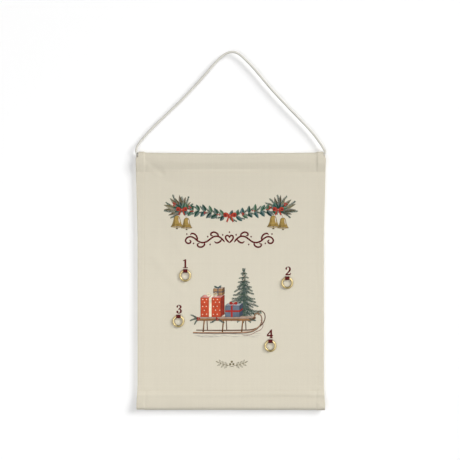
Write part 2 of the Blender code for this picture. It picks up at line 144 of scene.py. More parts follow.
# The broad waves end before the hems and the seams
WAVE_PAST_HEM = 0.006
WAVE_HEM_EASE = 0.03
WAVE_SEAM_EASE = 0.02
BROAD_WAVE_DEPTH = 0.0007
BROAD_WAVE_LENGTH = 0.105
FINE_WAVE_DEPTH = 0.00012
FINE_WAVE_LENGTH = 0.022
PUCKER_DEPTH = 0.00016
PUCKER_LENGTH = 0.0085
PUCKER_REACH = 0.0055
PUCKER_SWING = 1.8
STITCH_LINE_DEPTH = 0.00016
STITCH_LINE_WIDTH = 0.0011
HEM_END_DENT = 0.00045
HEM_END_WIDTH = 0.0022

# Painted shade where the cloth lies doubled, as shares of the full tone: a little on the top casing and the
# hems, most on the bottom casing, and how softly it begins
TOP_CASING_SHADE = 0.10
TOP_SHADE_EASE = 0.006
BOTTOM_CASING_SHADE = 0.70
BOTTOM_SHADE_EASE = 0.007
BOTTOM_SHADE_DROP = 0.0085
HEM_SHADE = 0.10

# Cord, from one dowel end over the hook to the other: x and z of each point of its route
CORD_DIAMETER = 0.0045
CORD_LENGTH = 0.585
CORD_STRANDS = 12
CORD_STRAND_DEPTH = 0.00024
CORD_CELL_LENGTH = 0.0026
CORD_RING_STEP = 0.00045
CORD_SIDES = 40
CORD_HOLE_CLEARANCE = 0.0003
CORD_HOLE_DEPTH = 0.012
CORD_ROUTE = [
    (-0.1483, -0.1927), (-0.1560, -0.1927), (-0.1640, -0.1926), (-0.1700, -0.1918),
    (-0.1746, -0.1888), (-0.1765, -0.1840), (-0.1759, -0.1770), (-0.1716, -0.1688),
    (-0.1646, -0.1602), (-0.1526, -0.1466), (-0.1408, -0.1344), (-0.1182, -0.1129),
    (-0.0956, -0.0912), (-0.0731, -0.0681), (-0.0507, -0.0434), (-0.0284, -0.0176),
    (-0.0174, -0.0068), (-0.0073, -0.0001), (0.0016, 0.00225), (0.0100, 0.0012),
    (0.0195, -0.0048), (0.0417, -0.0268), (0.0641, -0.0534), (0.0865, -0.0790),
    (0.1090, -0.1028), (0.1315, -0.1260), (0.1538, -0.1503), (0.1648, -0.1651),
    (0.1727, -0.1768), (0.1762, -0.1842), (0.1744, -0.1889), (0.1700, -0.1918),
    (0.1640, -0.1926), (0.1560, -0.1927), (0.1483, -0.1927),
]

# Sewing
SEAM_STITCH_LENGTH = 0.0030
SEAM_STITCH_GAP = 0.0005
SEAM_THREAD = 0.00055
SATIN_PITCH = 0.00040
SATIN_THREAD = 0.00058
SATIN_CROWN = 0.00028
SATIN_SPREAD = 0.00040
SATIN_SINK = SATIN_THREAD * 0.2
NUMERAL_FULLNESS = 0.02
HEM_STITCH_SHIFT = 0.0008
FLOURISH_WIDTH = 0.0034
FLOURISH_TAPER = 0.004
FLOURISH_PITCH = 0.00044
KNOT_WIDTH = 0.0030
KNOT_ROWS = 7
KNOT_CROWN = 0.0004

# Printed ink
INK_LIFT = 0.00006
INK_LAYER = 0.00002
INK_CELL = 0.0034
INK_SINK = 0.00004
ROUND_POINTS = 14

# Lashings
LASHING_THREAD = 0.00076
LASHING_TURNS = 11
LASHING_SPREAD = 0.0002
LASHING_LEAN = 0.00012
LASHING_SLACKS = (0.00004, 0.00009)
LASHING_RINGS = 48
LASHING_SIDES = 10

# Rings
LEAST_WIRE_RADIUS = 0.0019
JOINT_ANGLE = math.radians(52)
JOINT_GROOVE = 0.00016
WIRE_UNEVENNESS = 0.000018

# Dowels
DOWEL_EASE = 0.0007
DOWEL_END_RIM = 0.0006
END_TOLERANCE = 0.00005

# Picture
WALL_GAP = 0.0030
IMAGE_CENTRE = Vector((-0.0014, 0.0, -0.3305))
CAMERA_DISTANCE = 2.03
CAMERA_LENS = 85.0


# Shared ways of making pieces

WELD_DISTANCE = 0.000002


def clear_selection():
    bpy.ops.object.select_all(action="DESELECT")


def select_only(thing):
    clear_selection()
    thing.select_set(True)
    bpy.context.view_layer.objects.active = thing


def ease(share):
    """Smooth step from 0 to 1."""
    share = min(max(share, 0.0), 1.0)
    return share * share * (3.0 - 2.0 * share)


def ridge(distance, width):
    """A smooth bell, 1 at no distance and near 0 beyond about twice the width."""
    return math.exp(-(distance / width) ** 2)


def mix(a, b, share):
    return a + (b - a) * share


def heading(line, index):
    """The direction in which a line of points runs at one of them."""
    return (line[min(index + 1, len(line) - 1)] - line[max(index - 1, 0)]).normalized()


def sideways(ahead):
    """The direction square to another one, seen from the front."""
    return Vector((-ahead.z, 0, ahead.x))


def smooth_points(points, step):
    """Points about a step apart on a smooth curve through the given ones."""
    places = [Vector(p) for p in points]
    places = [2 * places[0] - places[1]] + places + [2 * places[-1] - places[-2]]
    fine = []
    for a, b, c, d in zip(places, places[1:], places[2:], places[3:]):
        steps = max(1, round((c - b).length / step))
        # The knots follow the distance between points, so uneven spacing makes no loops
        knot_b = (b - a).length ** 0.5
        knot_c = knot_b + (c - b).length ** 0.5
        knot_d = knot_c + (d - c).length ** 0.5
        for count in range(steps):
            t = knot_b + (knot_c - knot_b) * count / steps
            ab = a.lerp(b, t / knot_b)
            bc = b.lerp(c, (t - knot_b) / (knot_c - knot_b))
            cd = c.lerp(d, (t - knot_c) / (knot_d - knot_c))
            abc = ab.lerp(bc, t / knot_c)
            bcd = bc.lerp(cd, (t - knot_b) / (knot_d - knot_b))
            fine.append(abc.lerp(bcd, (t - knot_b) / (knot_c - knot_b)))
    fine.append(places[-2])
    return fine


def smooth_flat(places, step):
    """A smooth line through flat (x, z) places, as such places."""
    return [(p.x, p.z) for p in smooth_points([(x, 0, z) for x, z in places], step)]


def even_points(points, count):
    """A number of points at even distances along a polyline."""
    lengths = [0.0]
    for a, b in zip(points, points[1:]):
        lengths.append(lengths[-1] + (b - a).length)
    chosen = []
    index = 0
    for number in range(count):
        target = lengths[-1] * number / (count - 1)
        while index < len(points) - 2 and lengths[index + 1] < target:
            index += 1
        part = lengths[index + 1] - lengths[index]
        share = (target - lengths[index]) / part if part else 0.0
        chosen.append(points[index].lerp(points[index + 1], min(share, 1.0)))
    return chosen


def length_of(points):
    return sum((b - a).length for a, b in zip(points, points[1:]))


def add_patch(name, across, along):
    """A flat grid whose vertices are then moved; each is found again by its column and row."""
    clear_selection()
    bpy.ops.mesh.primitive_grid_add(x_subdivisions=across, y_subdivisions=along, size=1.0, location=(0, 0, 0))
    patch = bpy.context.object
    patch.name = name
    return patch


def add_object(name, data):
    thing = bpy.data.objects.new(name, data)
    bpy.context.scene.collection.objects.link(thing)
    return thing


def weld(thing):
    """Joins the vertices that lie on each other and turns all faces outwards."""
    select_only(thing)
    bpy.ops.object.mode_set(mode="EDIT")
    bpy.ops.mesh.select_all(action="SELECT")
    bpy.ops.mesh.remove_doubles(threshold=WELD_DISTANCE)
    bpy.ops.mesh.normals_make_consistent(inside=False)
    bpy.ops.object.mode_set(mode="OBJECT")


def make_tube(name, rings, sides, place):
    """A tube whose skin is place(share along, share round). Its ends or its seam are welded."""
    tube = add_patch(name, sides, rings)
    for vertex in tube.data.vertices:
        vertex.co = place(vertex.co.y + 0.5, vertex.co.x + 0.5)
    weld(tube)
    return tube


def shade_smooth(thing, angle=60.0):
    select_only(thing)
    bpy.ops.object.shade_smooth_by_angle(angle=math.radians(angle))


def apply_modifier(thing, name):
    select_only(thing)
    bpy.ops.object.modifier_apply(modifier=name)


def dress(thing, name, material, body, slot, *nodes):
    """Name a finished piece, paint it, and hang it on its body in place of the nodes it stands for."""
    thing.name = name
    thing.data.name = name
    thing.data.materials.clear()
    thing.data.materials.append(material)
    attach(thing, body)
    if nodes:
        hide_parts(*nodes)


# Colour and shader nodes

def tone(red, green, blue):
    """A colour as it shows on a screen, 0 to 255, as the linear colour that a shader takes."""
    linear = []
    for value in (red, green, blue):
        value /= 255
        linear.append(value / 12.92 if value <= 0.04045 else ((value + 0.055) / 1.055) ** 2.4)
    return (*linear, 1.0)


def add_node(tree, kind, values=None, **settings):
    """A node with its settings, and its sockets linked or set by their names."""
    node = tree.nodes.new(kind)
    for name, value in settings.items():
        setattr(node, name, value)
    for name, value in (values or {}).items():
        put(tree, node.inputs[name], value)
    return node


def put(tree, socket, value):
    """Link a socket, or set it where the value is a plain one."""
    if isinstance(value, bpy.types.NodeSocket):
        tree.links.new(value, socket)
    else:
        socket.default_value = value


def calc(tree, operation, *values):
    node = add_node(tree, "ShaderNodeMath", operation=operation)
    for socket, value in zip(node.inputs, values):
        put(tree, socket, value)
    return node.outputs[0]


def blend(tree, share, first, second, kind="MIX"):
    """Two colours laid over each other."""
    node = add_node(tree, "ShaderNodeMix", data_type="RGBA", blend_type=kind)
    put(tree, node.inputs["Factor"], share)
    put(tree, node.inputs["A"], first)
    put(tree, node.inputs["B"], second)
    return node.outputs["Result"]


def ramp(tree, value, low, high, to_low=0.0, to_high=1.0):
    """A value's place between two limits, carried over to two others."""
    node = add_node(tree, "ShaderNodeMapRange", {"From Min": low, "From Max": high})
    put(tree, node.inputs["Value"], value)
    put(tree, node.inputs["To Min"], to_low)
    put(tree, node.inputs["To Max"], to_high)
    return node.outputs["Result"]


def speckle(tree, vector, scale, detail, roughness=0.5, stretch=None):
    """Soft noise between 0 and 1, drawn out along one axis where it is asked for."""
    if stretch:
        mapping = add_node(tree, "ShaderNodeMapping", {"Vector": vector, "Scale": stretch})
        vector = mapping.outputs["Vector"]
    values = {"Vector": vector, "Scale": scale, "Detail": detail, "Roughness": roughness}
    return add_node(tree, "ShaderNodeTexNoise", values).outputs["Fac"]


def new_group(name, inputs, outputs):
    """A node group that takes a vector and named values, and gives named values."""
    group = bpy.data.node_groups.new(name, "ShaderNodeTree")
    group.interface.new_socket("Vector", in_out="INPUT", socket_type="NodeSocketVector")
    for label, value in inputs.items():
        group.interface.new_socket(label, in_out="INPUT", socket_type="NodeSocketFloat").default_value = value
    for label in outputs:
        group.interface.new_socket(label, in_out="OUTPUT", socket_type="NodeSocketFloat")
    source = group.nodes.new("NodeGroupInput")
    target = group.nodes.new("NodeGroupOutput")
    return group, source.outputs, target.inputs


def make_weave_group():
    """Plain weave: every second crossing shows the lengthwise yarn, the others the crosswise one."""
    inputs = {"Pitch": 0.0008, "Slub": 0.3}
    group, given, result = new_group("plain weave", inputs, ("Height", "Gap", "Yarn Tone"))
    wander = add_node(group, "ShaderNodeTexNoise", {"Vector": given["Vector"], "Scale": 260.0, "Detail": 1.0})
    drift = calc(group, "MULTIPLY", calc(group, "SUBTRACT", wander.outputs["Fac"], 0.5), given["Slub"])
    axes = add_node(group, "ShaderNodeSeparateXYZ", {"Vector": given["Vector"]})
    across = calc(group, "ADD", calc(group, "DIVIDE", axes.outputs["X"], given["Pitch"]), drift)
    along = calc(group, "ADD", calc(group, "DIVIDE", axes.outputs["Y"], given["Pitch"]), drift)
    wave_across = calc(group, "SINE", calc(group, "MULTIPLY", across, math.pi))
    wave_along = calc(group, "SINE", calc(group, "MULTIPLY", along, math.pi))
    warp_up = calc(group, "GREATER_THAN", calc(group, "MULTIPLY", wave_across, wave_along), 0.0)
    power_across = ramp(group, warp_up, 0.0, 1.0, 0.45, 1.1)
    power_along = ramp(group, warp_up, 0.0, 1.0, 1.1, 0.45)
    crown_across = calc(group, "POWER", calc(group, "ABSOLUTE", wave_across), power_across)
    crown_along = calc(group, "POWER", calc(group, "ABSOLUTE", wave_along), power_along)
    height = calc(group, "MULTIPLY", crown_across, crown_along)
    group.links.new(height, result["Height"])
    group.links.new(ramp(group, height, 0.0, 0.35, 1.0, 0.0), result["Gap"])
    lengthwise = add_node(group, "ShaderNodeTexWhiteNoise", noise_dimensions="1D")
    group.links.new(calc(group, "FLOOR", across), lengthwise.inputs["W"])
    crosswise = add_node(group, "ShaderNodeTexWhiteNoise", noise_dimensions="1D")
    group.links.new(calc(group, "ADD", calc(group, "FLOOR", along), 0.5), crosswise.inputs["W"])
    tones = add_node(group, "ShaderNodeMix", data_type="FLOAT")
    group.links.new(warp_up, tones.inputs["Factor"])
    group.links.new(crosswise.outputs["Value"], tones.inputs["A"])
    group.links.new(lengthwise.outputs["Value"], tones.inputs["B"])
    group.links.new(tones.outputs["Result"], result["Yarn Tone"])
    return group


def make_twist_group():
    """Plies of a twisted thread: slanting ridges round the piece's own UV map, v along the thread."""
    group, given, result = new_group("twisted plies", {"Turns": 6.0, "Plies": 2.0}, ("Height", "Groove"))
    axes = add_node(group, "ShaderNodeSeparateXYZ", {"Vector": given["Vector"]})
    round_it = calc(group, "MULTIPLY", axes.outputs["X"], given["Plies"])
    along = calc(group, "MULTIPLY", axes.outputs["Y"], given["Turns"])
    wave = calc(group, "SINE", calc(group, "MULTIPLY", calc(group, "ADD", round_it, along), math.pi))
    height = calc(group, "POWER", calc(group, "ABSOLUTE", wave), 0.6)
    group.links.new(height, result["Height"])
    group.links.new(ramp(group, height, 0.0, 0.5, 1.0, 0.0), result["Groove"])
    return group


def make_mottle_group():
    """Slow changes of tone over a surface, as uneven dye, bleach or handling leaves them."""
    inputs = {"Patch Scale": 12.0, "Fine Scale": 400.0, "Amount": 0.04}
    group, given, result = new_group("mottle", inputs, ("Tone", "Fine"))
    patches = speckle(group, given["Vector"], given["Patch Scale"], 3.0)
    fine = speckle(group, given["Vector"], given["Fine Scale"], 2.0)
    both = calc(group, "ADD", calc(group, "MULTIPLY", patches, 0.65), calc(group, "MULTIPLY", fine, 0.35))
    swing = calc(group, "MULTIPLY", calc(group, "SUBTRACT", both, 0.5), given["Amount"])
    group.links.new(calc(group, "ADD", calc(group, "MULTIPLY", swing, 2.0), 1.0), result["Tone"])
    group.links.new(fine, result["Fine"])
    return group


WEAVE = make_weave_group()
TWIST = make_twist_group()
MOTTLE = make_mottle_group()


def use_group(tree, group, **values):
    node = add_node(tree, "ShaderNodeGroup", node_tree=group)
    for name, value in values.items():
        put(tree, node.inputs[name.replace("_", " ")], value)
    return node.outputs


def new_material(name):
    material = bpy.data.materials.new(name)
    material.use_nodes = True
    tree = material.node_tree
    shader = tree.nodes["Principled BSDF"]
    places = add_node(tree, "ShaderNodeTexCoord")
    return material, tree, shader, places.outputs


def tinted(tree, colour, value):
    """A colour made lighter or darker by a value about 1."""
    return blend(tree, 1.0, colour, value, "MULTIPLY")


def set_shader(tree, shader, colour, roughness, **others):
    """Give a shader its colour and roughness, and set its other sockets by their names."""
    put(tree, shader.inputs["Base Color"], colour)
    put(tree, shader.inputs["Roughness"], roughness)
    for name, value in others.items():
        shader.inputs[name.replace("_", " ")].default_value = value


def bump(tree, shader, height, distance, strength):
    node = add_node(tree, "ShaderNodeBump", {"Height": height, "Distance": distance, "Strength": strength})
    put(tree, shader.inputs["Normal"], node.outputs["Normal"])


# Materials

WEAVE_PITCH = 0.00085
THREAD_TURNS = 7.0
CORD_YARN_PITCH = 0.0011
# The cloth is a little greyer towards its top: where that starts, and where it is full
UPPER_DARKENING_HEIGHTS = (-0.43, -0.23)
# Painted shade: the cloth's tone where it lies doubled, at full share
DOUBLED_PAINTED_SHADE_TONE = 0.90
UPPER_DARKENING_TONE = 0.950
BRASS_FOOT_SHARE = 0.25
CANVAS_TONE = tone(223, 216, 198)
CANVAS_SHADE = tone(196, 186, 162)


def make_canvas_material():
    """Cream canvas: woven yarns with thicker slubs, a slow mottle, and painted shade where it lies doubled.
    """
    material, tree, shader, places = new_material("cream canvas")
    weave = use_group(tree, WEAVE, Vector=places["UV"], Pitch=WEAVE_PITCH, Slub=0.35)
    mottle = use_group(tree, MOTTLE, Vector=places["Object"], Patch_Scale=9.0, Fine_Scale=900.0, Amount=0.025)
    yarn = ramp(tree, weave["Yarn Tone"], 0.0, 1.0, 0.98, 1.02)
    slubs = speckle(tree, places["UV"], 1.0, 2.0, 0.6, (1800.0, 70.0, 1.0))
    slub_tone = ramp(tree, slubs, 0.55, 0.8, 1.0, 1.025)
    colour = blend(tree, calc(tree, "MULTIPLY", weave["Gap"], 0.5), CANVAS_TONE, CANVAS_SHADE)
    colour = tinted(tree, colour, yarn)
    colour = tinted(tree, colour, slub_tone)
    colour = tinted(tree, colour, mottle["Tone"])
    # Painted shade where the cloth lies doubled
    doubled_painted_shade = add_node(tree, "ShaderNodeAttribute", attribute_name="doubled_painted_shade")
    colour = tinted(tree, colour, ramp(tree, doubled_painted_shade.outputs["Fac"], 0.0, 1.0, 1.0, DOUBLED_PAINTED_SHADE_TONE))
    height_on_wall = add_node(tree, "ShaderNodeSeparateXYZ", {"Vector": places["Object"]}).outputs["Z"]
    colour = tinted(tree, colour, ramp(tree, height_on_wall, *UPPER_DARKENING_HEIGHTS, 1.0, UPPER_DARKENING_TONE))
    roughness = ramp(tree, mottle["Fine"], 0.0, 1.0, 0.82, 0.96)
    set_shader(tree, shader, colour, roughness,
               Sheen_Weight=0.08, Sheen_Roughness=0.6, Specular_IOR_Level=0.25)
    height = calc(tree, "ADD", weave["Height"], calc(tree, "MULTIPLY", mottle["Fine"], 0.4))
    bump(tree, shader, height, 0.00022, 0.55)
    return material


def make_print_material():
    """Ink that has soaked into the weave: pigment pools a little and stays thin in the gaps."""
    material, tree, shader, places = new_material("printed ink")
    ink = add_node(tree, "ShaderNodeAttribute", attribute_name="ink")
    upright = {"Vector": places["Object"], "Rotation": (-math.pi / 2, 0, 0)}
    mapping = add_node(tree, "ShaderNodeMapping", upright)
    weave = use_group(tree, WEAVE, Vector=mapping.outputs["Vector"], Pitch=WEAVE_PITCH, Slub=0.35)
    pools = speckle(tree, places["Object"], 130.0, 4.0, 0.6)
    grain = speckle(tree, places["Object"], 900.0, 2.0, 0.5)
    colour = tinted(tree, ink.outputs["Color"], ramp(tree, pools, 0.3, 0.7, 0.80, 1.22))
    colour = tinted(tree, colour, ramp(tree, grain, 0.25, 0.75, 0.90, 1.10))
    thin = calc(tree, "MULTIPLY", weave["Gap"], 0.03)
    colour = blend(tree, thin, colour, CANVAS_TONE)
    set_shader(tree, shader, colour, ramp(tree, grain, 0.0, 1.0, 0.78, 0.92), Specular_IOR_Level=0.25)
    bump(tree, shader, weave["Height"], 0.00020, 0.5)
    return material


def make_thread_material(name, light, groove_shade, sheen):
    """Twisted thread: painted shade in the grooves between its plies, with loose fibres over all."""
    material, tree, shader, places = new_material(name)
    plies = use_group(tree, TWIST, Vector=places["UV"], Turns=THREAD_TURNS, Plies=2.0)
    mottle = use_group(tree, MOTTLE, Vector=places["Object"], Patch_Scale=120.0, Fine_Scale=2500.0,
                       Amount=0.09)
    # Painted shade: the thread's colour darkens in the grooves between its plies
    colour = blend(tree, calc(tree, "MULTIPLY", plies["Groove"], 0.7), light, groove_shade)
    colour = tinted(tree, colour, mottle["Tone"])
    roughness = ramp(tree, mottle["Fine"], 0.0, 1.0, 0.6, 0.8)
    set_shader(tree, shader, colour, roughness, Sheen_Weight=sheen, Specular_IOR_Level=0.25)
    bump(tree, shader, plies["Height"], 0.00008, 0.7)
    return material


def make_cord_material():
    """Braided cotton: fine yarns inside each strand with painted shade in their grooves, and painted shade in
    the hollows between strands.
    """
    material, tree, shader, places = new_material("cotton cord")
    mottle = use_group(tree, MOTTLE, Vector=places["Object"], Patch_Scale=60.0, Fine_Scale=2200.0,
                       Amount=0.05)
    hollow_shade = add_node(tree, "ShaderNodeAttribute", attribute_name="hollow_shade")
    yarns = use_group(tree, TWIST, Vector=places["UV"], Turns=CORD_LENGTH / CORD_YARN_PITCH, Plies=18.0)
    # Painted shade in the hollows between strands and, fainter, in the yarns' grooves
    colour = blend(tree, hollow_shade.outputs["Fac"], tone(233, 231, 223), tone(194, 191, 181))
    colour = blend(tree, calc(tree, "MULTIPLY", yarns["Groove"], 0.3), colour, tone(208, 205, 195))
    colour = tinted(tree, colour, mottle["Tone"])
    roughness = ramp(tree, mottle["Fine"], 0.0, 1.0, 0.8, 0.95)
    set_shader(tree, shader, colour, roughness, Sheen_Weight=0.12, Specular_IOR_Level=0.3)
    bump(tree, shader, calc(tree, "ADD", yarns["Height"], mottle["Fine"]), 0.00006, 0.6)
    return material


def make_wood_material():
    """Turned beech: long grain along X, short dark flecks and the lathe's faint rings."""
    material, tree, shader, places = new_material("beech dowel")
    grain = speckle(tree, places["Object"], 1.0, 5.0, 0.65, (9.0, 420.0, 420.0))
    flecks = speckle(tree, places["Object"], 1.0, 2.0, 0.5, (160.0, 2600.0, 2600.0))
    turning = speckle(tree, places["Object"], 1.0, 1.0, 0.5, (2200.0, 20.0, 20.0))
    colour = blend(tree, ramp(tree, grain, 0.35, 0.7), tone(222, 186, 142), tone(190, 146, 100))
    colour = blend(tree, ramp(tree, flecks, 0.62, 0.72, 0.0, 0.6), colour, tone(146, 100, 62))
    colour = tinted(tree, colour, ramp(tree, turning, 0.3, 0.7, 0.97, 1.03))
    set_shader(tree, shader, colour, ramp(tree, grain, 0.3, 0.7, 0.5, 0.68))
    bump(tree, shader, calc(tree, "ADD", grain, turning), 0.00006, 0.5)
    return material


def make_brass_material():
    """Polished brass with a little dulling, fine scratches that run round the ring's wire, and a painted dark
    reflection at the ring's foot.
    """
    material, tree, shader, places = new_material("polished brass")
    dull = speckle(tree, places["Object"], 160.0, 3.0, 0.6)
    axes = add_node(tree, "ShaderNodeSeparateXYZ", {"Vector": places["UV"]})
    # Painted dark reflection at the ring's foot
    from_foot = calc(tree, "ABSOLUTE", calc(tree, "SUBTRACT", axes.outputs["X"], BRASS_FOOT_SHARE))
    foot_painted_shade = ramp(tree, calc(tree, "ADD", from_foot, calc(tree, "MULTIPLY", dull, 0.08)), 0.05, 0.24, 1.0, 0.0)
    scratches = speckle(tree, places["UV"], 1.0, 3.0, 0.7, (8.0, 900.0, 1.0))
    colour = blend(tree, ramp(tree, dull, 0.35, 0.75), tone(190, 174, 130), tone(166, 148, 104))
    colour = blend(tree, calc(tree, "MULTIPLY", foot_painted_shade, 0.85), colour, tone(112, 98, 60))
    scratched = ramp(tree, scratches, 0.4, 0.8, 0.0, 0.08)
    roughness = calc(tree, "ADD", ramp(tree, dull, 0.3, 0.8, 0.26, 0.40), scratched)
    set_shader(tree, shader, colour, roughness, Metallic=1.0)
    bump(tree, shader, scratches, 0.00002, 0.35)
    return material


CANVAS = make_canvas_material()
PRINT = make_print_material()
CREAM_THREAD = make_thread_material("cream thread", tone(222, 212, 190), tone(170, 158, 134), 0.1)
RED_THREAD = make_thread_material("dark red thread", tone(88, 10, 14), tone(36, 2, 4), 0.0)
CORD_COTTON = make_cord_material()
BEECH = make_wood_material()
BRASS = make_brass_material()


# Camera

def add_camera():
    lens = bpy.data.cameras.new("camera")
    lens.lens = CAMERA_LENS
    camera = add_object("camera", lens)
    camera.location = IMAGE_CENTRE - Vector((0, CAMERA_DISTANCE, 0))
    camera.rotation_euler = (math.pi / 2, 0, 0)
    bpy.context.scene.camera = camera


# Hanging cord

def braid_crown(round_share, along):
    """How high the strand on top stands at a point of the braid, from 0 in a hollow to 1."""
    lanes = CORD_STRANDS / 2
    first = round_share * lanes + along / CORD_CELL_LENGTH / 2
    second = round_share * lanes - along / CORD_CELL_LENGTH / 2
    over = (math.floor(first) + math.floor(second)) % 2 == 0
    side = first if over else second
    run = second if over else first
    return abs(math.sin(math.pi * side)) ** 0.7 * (0.55 + 0.45 * abs(math.sin(math.pi * run)))


def make_cord():
    """The braided cord, from the hole in one end of the top dowel over the hook to the other."""
    route = smooth_points([(x, 0, z) for x, z in CORD_ROUTE], FINE_STEP)
    rings = round(length_of(route) / CORD_RING_STEP)
    line = even_points(route, rings + 1)
    length = length_of(line)
    cord = add_patch("hanging_cord_braid", CORD_SIDES, rings)
    hollow_shades = cord.data.attributes.new("hollow_shade", "FLOAT", "POINT")
    for vertex in cord.data.vertices:
        along_share, round_share = vertex.co.y + 0.5, vertex.co.x + 0.5
        index = round(along_share * rings)
        crown = braid_crown(round_share % 1.0, along_share * length)
        # Painted shade: 1 in a hollow between strands, 0 on a strand's crown
        hollow_shades.data[vertex.index].value = 1 - crown
        # The radius is zero at both ends, which closes the cord
        radius = 0.0 if index in (0, rings) else CORD_DIAMETER / 2 - CORD_STRAND_DEPTH * (1 - crown)
        turn = 2 * math.pi * round_share
        side = sideways(heading(line, index))
        vertex.co = line[index] + (side * math.cos(turn) - FORWARD * math.sin(turn)) * radius
    weld(cord)
    shade_smooth(cord)
    dress(cord, "hanging_cord_braid", CORD_COTTON, "hanger", "cotton_cord", "hanging_cord")


# Canvas sheet

def casing_profile(thickness, front_shares):
    """Outer face of a casing from the flap's end round the dowel to the seam: (y, rise, front)."""
    outer = DOWEL_RADIUS + CASING_GAP + thickness
    drop = TOP_AXIS_Z - TOP_SEAM_Z
    flap_y = SHEET_FRONT_Y + 2 * thickness + FLAP_GAP
    points = [(flap_y, -drop - FLAP_PAST_SEAM, 0.0), (flap_y, -drop, 0.0)]
    middle_rise = -(BACK_FLAT_START + BACK_FLAT_END) / 2
    points += [(CLOTH_BACK_Y, rise, 0.0) for rise in (-BACK_FLAT_END, middle_rise, -BACK_FLAT_START)]
    quarter = 5
    for step in range(1, quarter + 1):
        turn = math.pi / 2 * step / quarter
        points.append((CLOTH_BACK_Y * math.cos(turn), outer * math.sin(turn), 0.0))
    for step in range(1, quarter + 1):
        turn = math.pi / 2 * step / quarter
        points.append((-outer * math.sin(turn), outer * math.cos(turn), step / quarter))
    for drop_share, inward_share in front_shares:
        points.append((mix(-outer, SHEET_FRONT_Y, inward_share), -drop * drop_share, 1.0))
    points.append((SHEET_FRONT_Y, -drop, 1.0))
    return points


def cloth_profile(thickness, counts=None):
    """Rows of the whole strip from the top flap to the bottom one, as (y, z, front share).

    The counts say how many rows each stretch gets, so that two thicknesses give matching rows.
    """
    top_casing = casing_profile(thickness, TOP_CASING_FRONT)
    bottom_casing = casing_profile(thickness, BOTTOM_CASING_FRONT)
    keys = [(y, TOP_AXIS_Z + rise, front) for y, rise, front in top_casing]
    sheet_keys = 12
    for step in range(1, sheet_keys):
        keys.append((SHEET_FRONT_Y, mix(TOP_SEAM_Z, BOTTOM_SEAM_Z, step / sheet_keys), 1.0))
    keys += [(y, BOTTOM_AXIS_Z - rise, front) for y, rise, front in reversed(bottom_casing)]
    if counts is None:
        counts = []
        for (y0, z0, _), (y1, z1, _) in zip(keys, keys[1:]):
            in_top = max(z0, z1) > TOP_SEAM_Z - CLOTH_THICKNESS
            in_bottom = min(z0, z1) < BOTTOM_SEAM_Z + CLOTH_THICKNESS
            row_height = CASING_ROW if in_top or in_bottom else SHEET_ROW
            counts.append(max(1, math.ceil(math.hypot(y1 - y0, z1 - z0) / row_height)))
    places = [Vector((y, z, front)) for y, z, front in keys]
    places = [2 * places[0] - places[1]] + places + [2 * places[-1] - places[-2]]
    rows = []
    for a, b, c, d, count in zip(places, places[1:], places[2:], places[3:], counts):
        for step in range(count):
            t = step / count
            tangent_b = (c - a) / 2
            tangent_c = (d - b) / 2
            # A tangent no longer than its own stretch keeps short stretches from looping
            tangent_b *= min(1.0, (c - b).length / max(tangent_b.length, 1e-9))
            tangent_c *= min(1.0, (c - b).length / max(tangent_c.length, 1e-9))
            h1 = (1 + 2 * t) * (1 - t) ** 2
            rows.append(b * h1 + tangent_b * t * (1 - t) ** 2 + c * (1 - h1) - tangent_c * t * t * (1 - t))
    rows.append(places[-2])
    return rows, counts


def inward(rows, index):
    """The direction from the outer face into the cloth, square to the profile."""
    before, after = rows[max(index - 1, 0)], rows[min(index + 1, len(rows) - 1)]
    run = Vector((after.x - before.x, after.y - before.y)).normalized()
    return Vector((-run.y, run.x))


def half_columns():
    """Columns from the hem's raw edge round its two folds to the middle of the panel.

    Each is (kind, place, depth): a hem column's place is its share of the way from the stitched
    fold to the panel's edge, and a sheet column's is its distance from the middle line.
    """
    layer = CLOTH_THICKNESS
    hem = PANEL_WIDTH / 2 - HEM_LINE_X
    small, large = layer / 2 / hem, layer / hem
    columns = [("hem", share, 1.5 * layer) for share in (HEM_TURN_IN / hem, 0.5, 0.12)]
    for step in range(1, 4):
        turn = math.pi * step / 4
        columns.append(("hem", small * (1 - math.sin(turn)), (2 + 0.5 * -math.cos(turn)) * layer))
    columns += [("hem", share, 2.5 * layer) for share in (0.12, 0.5, 0.82, 1 - large)]
    for step in range(1, 6):
        turn = math.pi * step / 6
        columns.append(("hem", 1 - large * (1 - math.sin(turn)), (1.5 + math.cos(turn)) * layer))
    columns += [("hem", share, 0.5 * layer) for share in (1 - large, 0.82, 0.6, 0.4, 0.22, 0.1, 0.0)]
    first = HEM_LINE_X - HEM_COLUMN_EASE
    last = first - SHEET_COLUMN
    columns += [("sheet", place, 0.5 * layer) for place in (first, first - 0.4 * SHEET_COLUMN, last)]
    count = round(last / SHEET_COLUMN)
    columns += [("sheet", last * (count - step) / count, 0.5 * layer) for step in range(1, count)]
    return columns


def cloth_columns():
    half = half_columns()
    centre = (1, "sheet", 0.0, 0.5 * CLOTH_THICKNESS)
    return [(-1, *column) for column in half] + [centre] + [(1, *column) for column in reversed(half)]


def edge_half_width(z):
    """Half the panel's width at a height: it flares a little towards both rods."""
    top = ease(1.0 - (TOP_AXIS_Z - z) / TOP_FLARE_DROP)
    bottom = ease(1.0 - (z - BOTTOM_AXIS_Z) / BOTTOM_FLARE_RISE)
    return PANEL_WIDTH / 2 + TOP_EDGE_FLARE * top + BOTTOM_EDGE_FLARE * bottom


def distance_to_line(x, z, start, end):
    line = Vector((end[0] - start[0], end[1] - start[1]))
    offset = Vector((x - start[0], z - start[1]))
    share = min(max(offset.dot(line) / line.length_squared, 0.0), 1.0)
    return (offset - line * share).length


def soft_noise(x, z, length, seed):
    return noise.noise(Vector((x / length, seed, z / length)))


